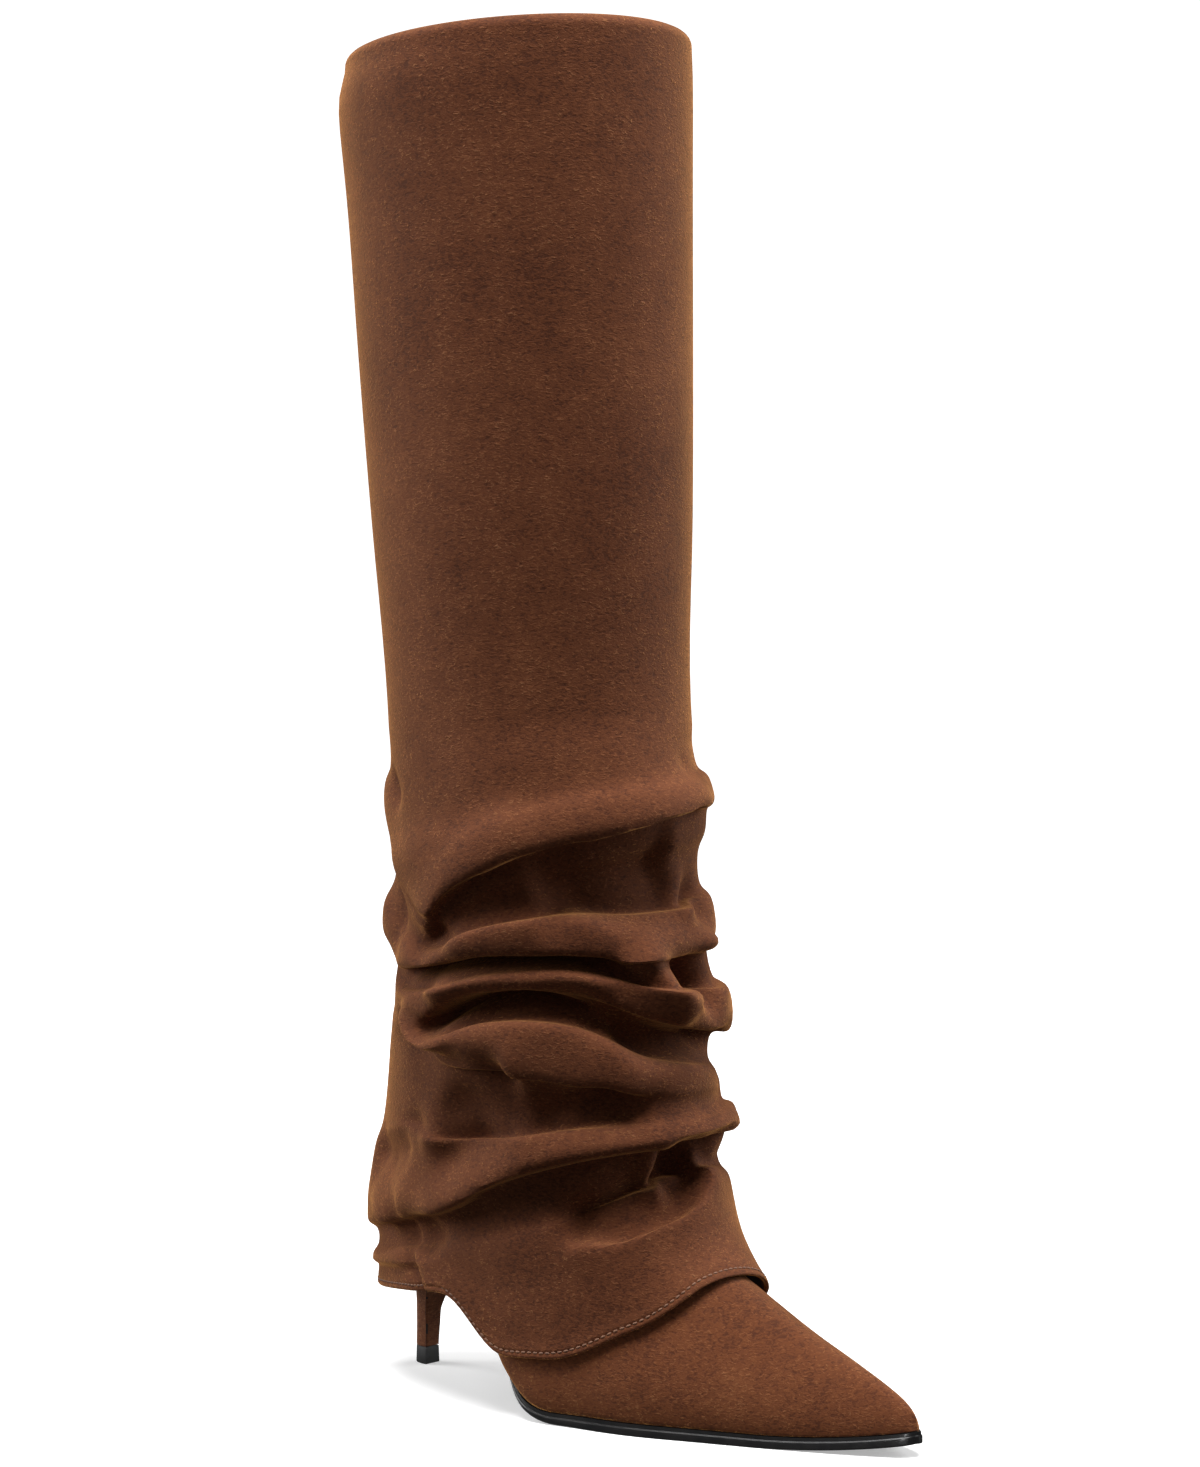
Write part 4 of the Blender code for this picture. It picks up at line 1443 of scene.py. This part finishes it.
@dataclass(frozen=True)
class Studio:
    """White sweep, soft lights and the camera."""

    sweep_radius: float = 4.0
    sweep_bend: float = 1.2
    sweep_height: float = 3.4
    sweep_segments: int = 64
    bend_steps: int = 12
    sweep_tone: float = 0.8
    sweep_roughness: float = 0.9
    sweep_specular: float = 0.1
    world_strength: float = 0.13
    floor_glow: float = 0.38
    wall_glow: float = 1.0
    glow_from_m: float = 0.25
    glow_to_m: float = 1.4
    camera_turn: float = 42.0
    camera_away_mm: float = 1250.0
    camera_height_mm: float = 282.0
    aim_y_mm: float = 60.0
    aim_turn: float = 41.71
    aim_down: float = 2.31
    focal_px: float = 3592.0
    photo_height_px: float = 1467.0
    film_mm: float = 36.0
    lights: tuple = (
        LightPlace("overhead", (-0.26, -0.20, 1.68), (0.0, 0.05, 0.2), 1.3, 1.3, 180.0, 49.0),
        LightPlace("left_edge", (-0.75, 1.45, 0.75), (0.0, 0.06, 0.25), 1.3, 1.3, 180.0, 25.0),
        LightPlace("right_edge", (1.4, -0.72, 0.75), (0.0, 0.06, 0.25), 1.3, 1.3, 180.0, 25.0),
        LightPlace("floor_bounce", (-0.48, -0.44, 0.03), (0.0, 0.0, 0.0), 0.5, 0.03, 13.0, 0.022),
    )

    def build_sweep(self) -> None:
        """Makes the white floor that curves up all round."""
        bm = bmesh.new()
        flat = self.sweep_radius - self.sweep_bend
        profile = [Vector((0.0, 0.0, 0.0)), Vector((flat, 0.0, 0.0))]
        for step in range(1, self.bend_steps + 1):
            turn = math.pi / 2.0 * step / self.bend_steps
            out, up = math.sin(turn), 1.0 - math.cos(turn)
            profile.append(Vector((flat + self.sweep_bend * out, 0.0, self.sweep_bend * up)))
        profile.append(Vector((self.sweep_radius, 0.0, self.sweep_height)))
        verts = [bm.verts.new(point) for point in profile]
        edges = [bm.edges.new(pair) for pair in zip(verts, verts[1:])]
        bmesh.ops.spin(
            bm, geom=verts + edges, cent=(0.0, 0.0, 0.0), axis=(0.0, 0.0, 1.0), angle=2.0 * math.pi,
            steps=self.sweep_segments, use_merge=True,
        )
        bmesh.ops.remove_doubles(bm, verts=bm.verts, dist=MM)
        bmesh.ops.recalc_face_normals(bm, faces=bm.faces)
        bmesh.ops.reverse_faces(bm, faces=bm.faces)
        white = bpy.data.materials.new("white_sweep")
        white.use_nodes = True
        shader = Shader(white.node_tree)
        surface = white.node_tree.nodes["Principled BSDF"]
        place = white.node_tree.nodes.new("ShaderNodeTexCoord").outputs["Object"]
        away = shader.node("ShaderNodeVectorMath", {"operation": "LENGTH"}, Vector=place).outputs["Value"]
        glow = shader.ramp(away, self.glow_from_m, self.glow_to_m, self.floor_glow, self.wall_glow)
        values = {
            "Base Color": (self.sweep_tone, self.sweep_tone, self.sweep_tone, 1.0),
            "Roughness": self.sweep_roughness,
            "Specular IOR Level": self.sweep_specular,
            "Emission Color": WHITE,
            "Emission Strength": glow,
        }
        for socket, value in values.items():
            shader.feed(surface.inputs[socket], value)
        sweep = MESHES.to_object("floor_sweep", bm, [white])
        sweep.visible_diffuse = False
        sweep.visible_glossy = False

    def build_lights(self) -> None:
        """Hangs the soft lights and sets the even surrounding light."""
        world = bpy.data.worlds.new("studio")
        world.use_nodes = True
        background = world.node_tree.nodes["Background"].inputs
        background["Color"].default_value = WHITE
        background["Strength"].default_value = self.world_strength
        bpy.context.scene.world = world
        for light in self.lights:
            data = bpy.data.lights.new(light.name, "AREA")
            data.shape = "ELLIPSE"
            data.size = light.width_m
            data.size_y = light.height_m
            data.spread = math.radians(light.spread_degrees)
            data.energy = light.power_w
            lamp = bpy.data.objects.new(light.name, data)
            lamp.location = light.place_m
            lamp.rotation_euler = (Vector(light.aim_m) - lamp.location).to_track_quat("-Z", "Y").to_euler()
            lamp.visible_camera = False
            bpy.context.scene.collection.objects.link(lamp)

    def build_camera(self) -> None:
        """Sets the camera at the photograph's angle."""
        turn = math.radians(self.camera_turn)
        yaw = math.radians(self.aim_turn)
        pitch = math.radians(self.aim_down)
        data = bpy.data.cameras.new("camera")
        data.sensor_width = self.film_mm
        data.lens = self.focal_px / self.photo_height_px * self.film_mm
        camera = bpy.data.objects.new("camera", data)
        away = self.camera_away_mm
        camera.location = Vector(
            (-math.cos(turn) * away, self.aim_y_mm - math.sin(turn) * away, self.camera_height_mm)
        ) * MM
        forward = Vector((math.cos(yaw) * math.cos(pitch), math.sin(yaw) * math.cos(pitch), -math.sin(pitch)))
        camera.rotation_euler = forward.to_track_quat("-Z", "Y").to_euler()
        bpy.context.scene.collection.objects.link(camera)
        bpy.context.scene.camera = camera

    def build(self) -> None:
        """Makes the whole studio."""
        self.build_sweep()
        self.build_lights()
        self.build_camera()
        bpy.context.scene.view_settings.view_transform = "Standard"


def main() -> None:
    """Loads the frame, dresses the boot and lights it."""
    logging.basicConfig(level=logging.INFO, format="%(name)s: %(message)s")
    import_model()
    shaft = Shaft()
    shaft.build()
    Upper().build(shaft)
    Outsole().build()
    Heel().build()
    Insole().build()
    Studio().build()


if __name__ == "__main__":
    main()
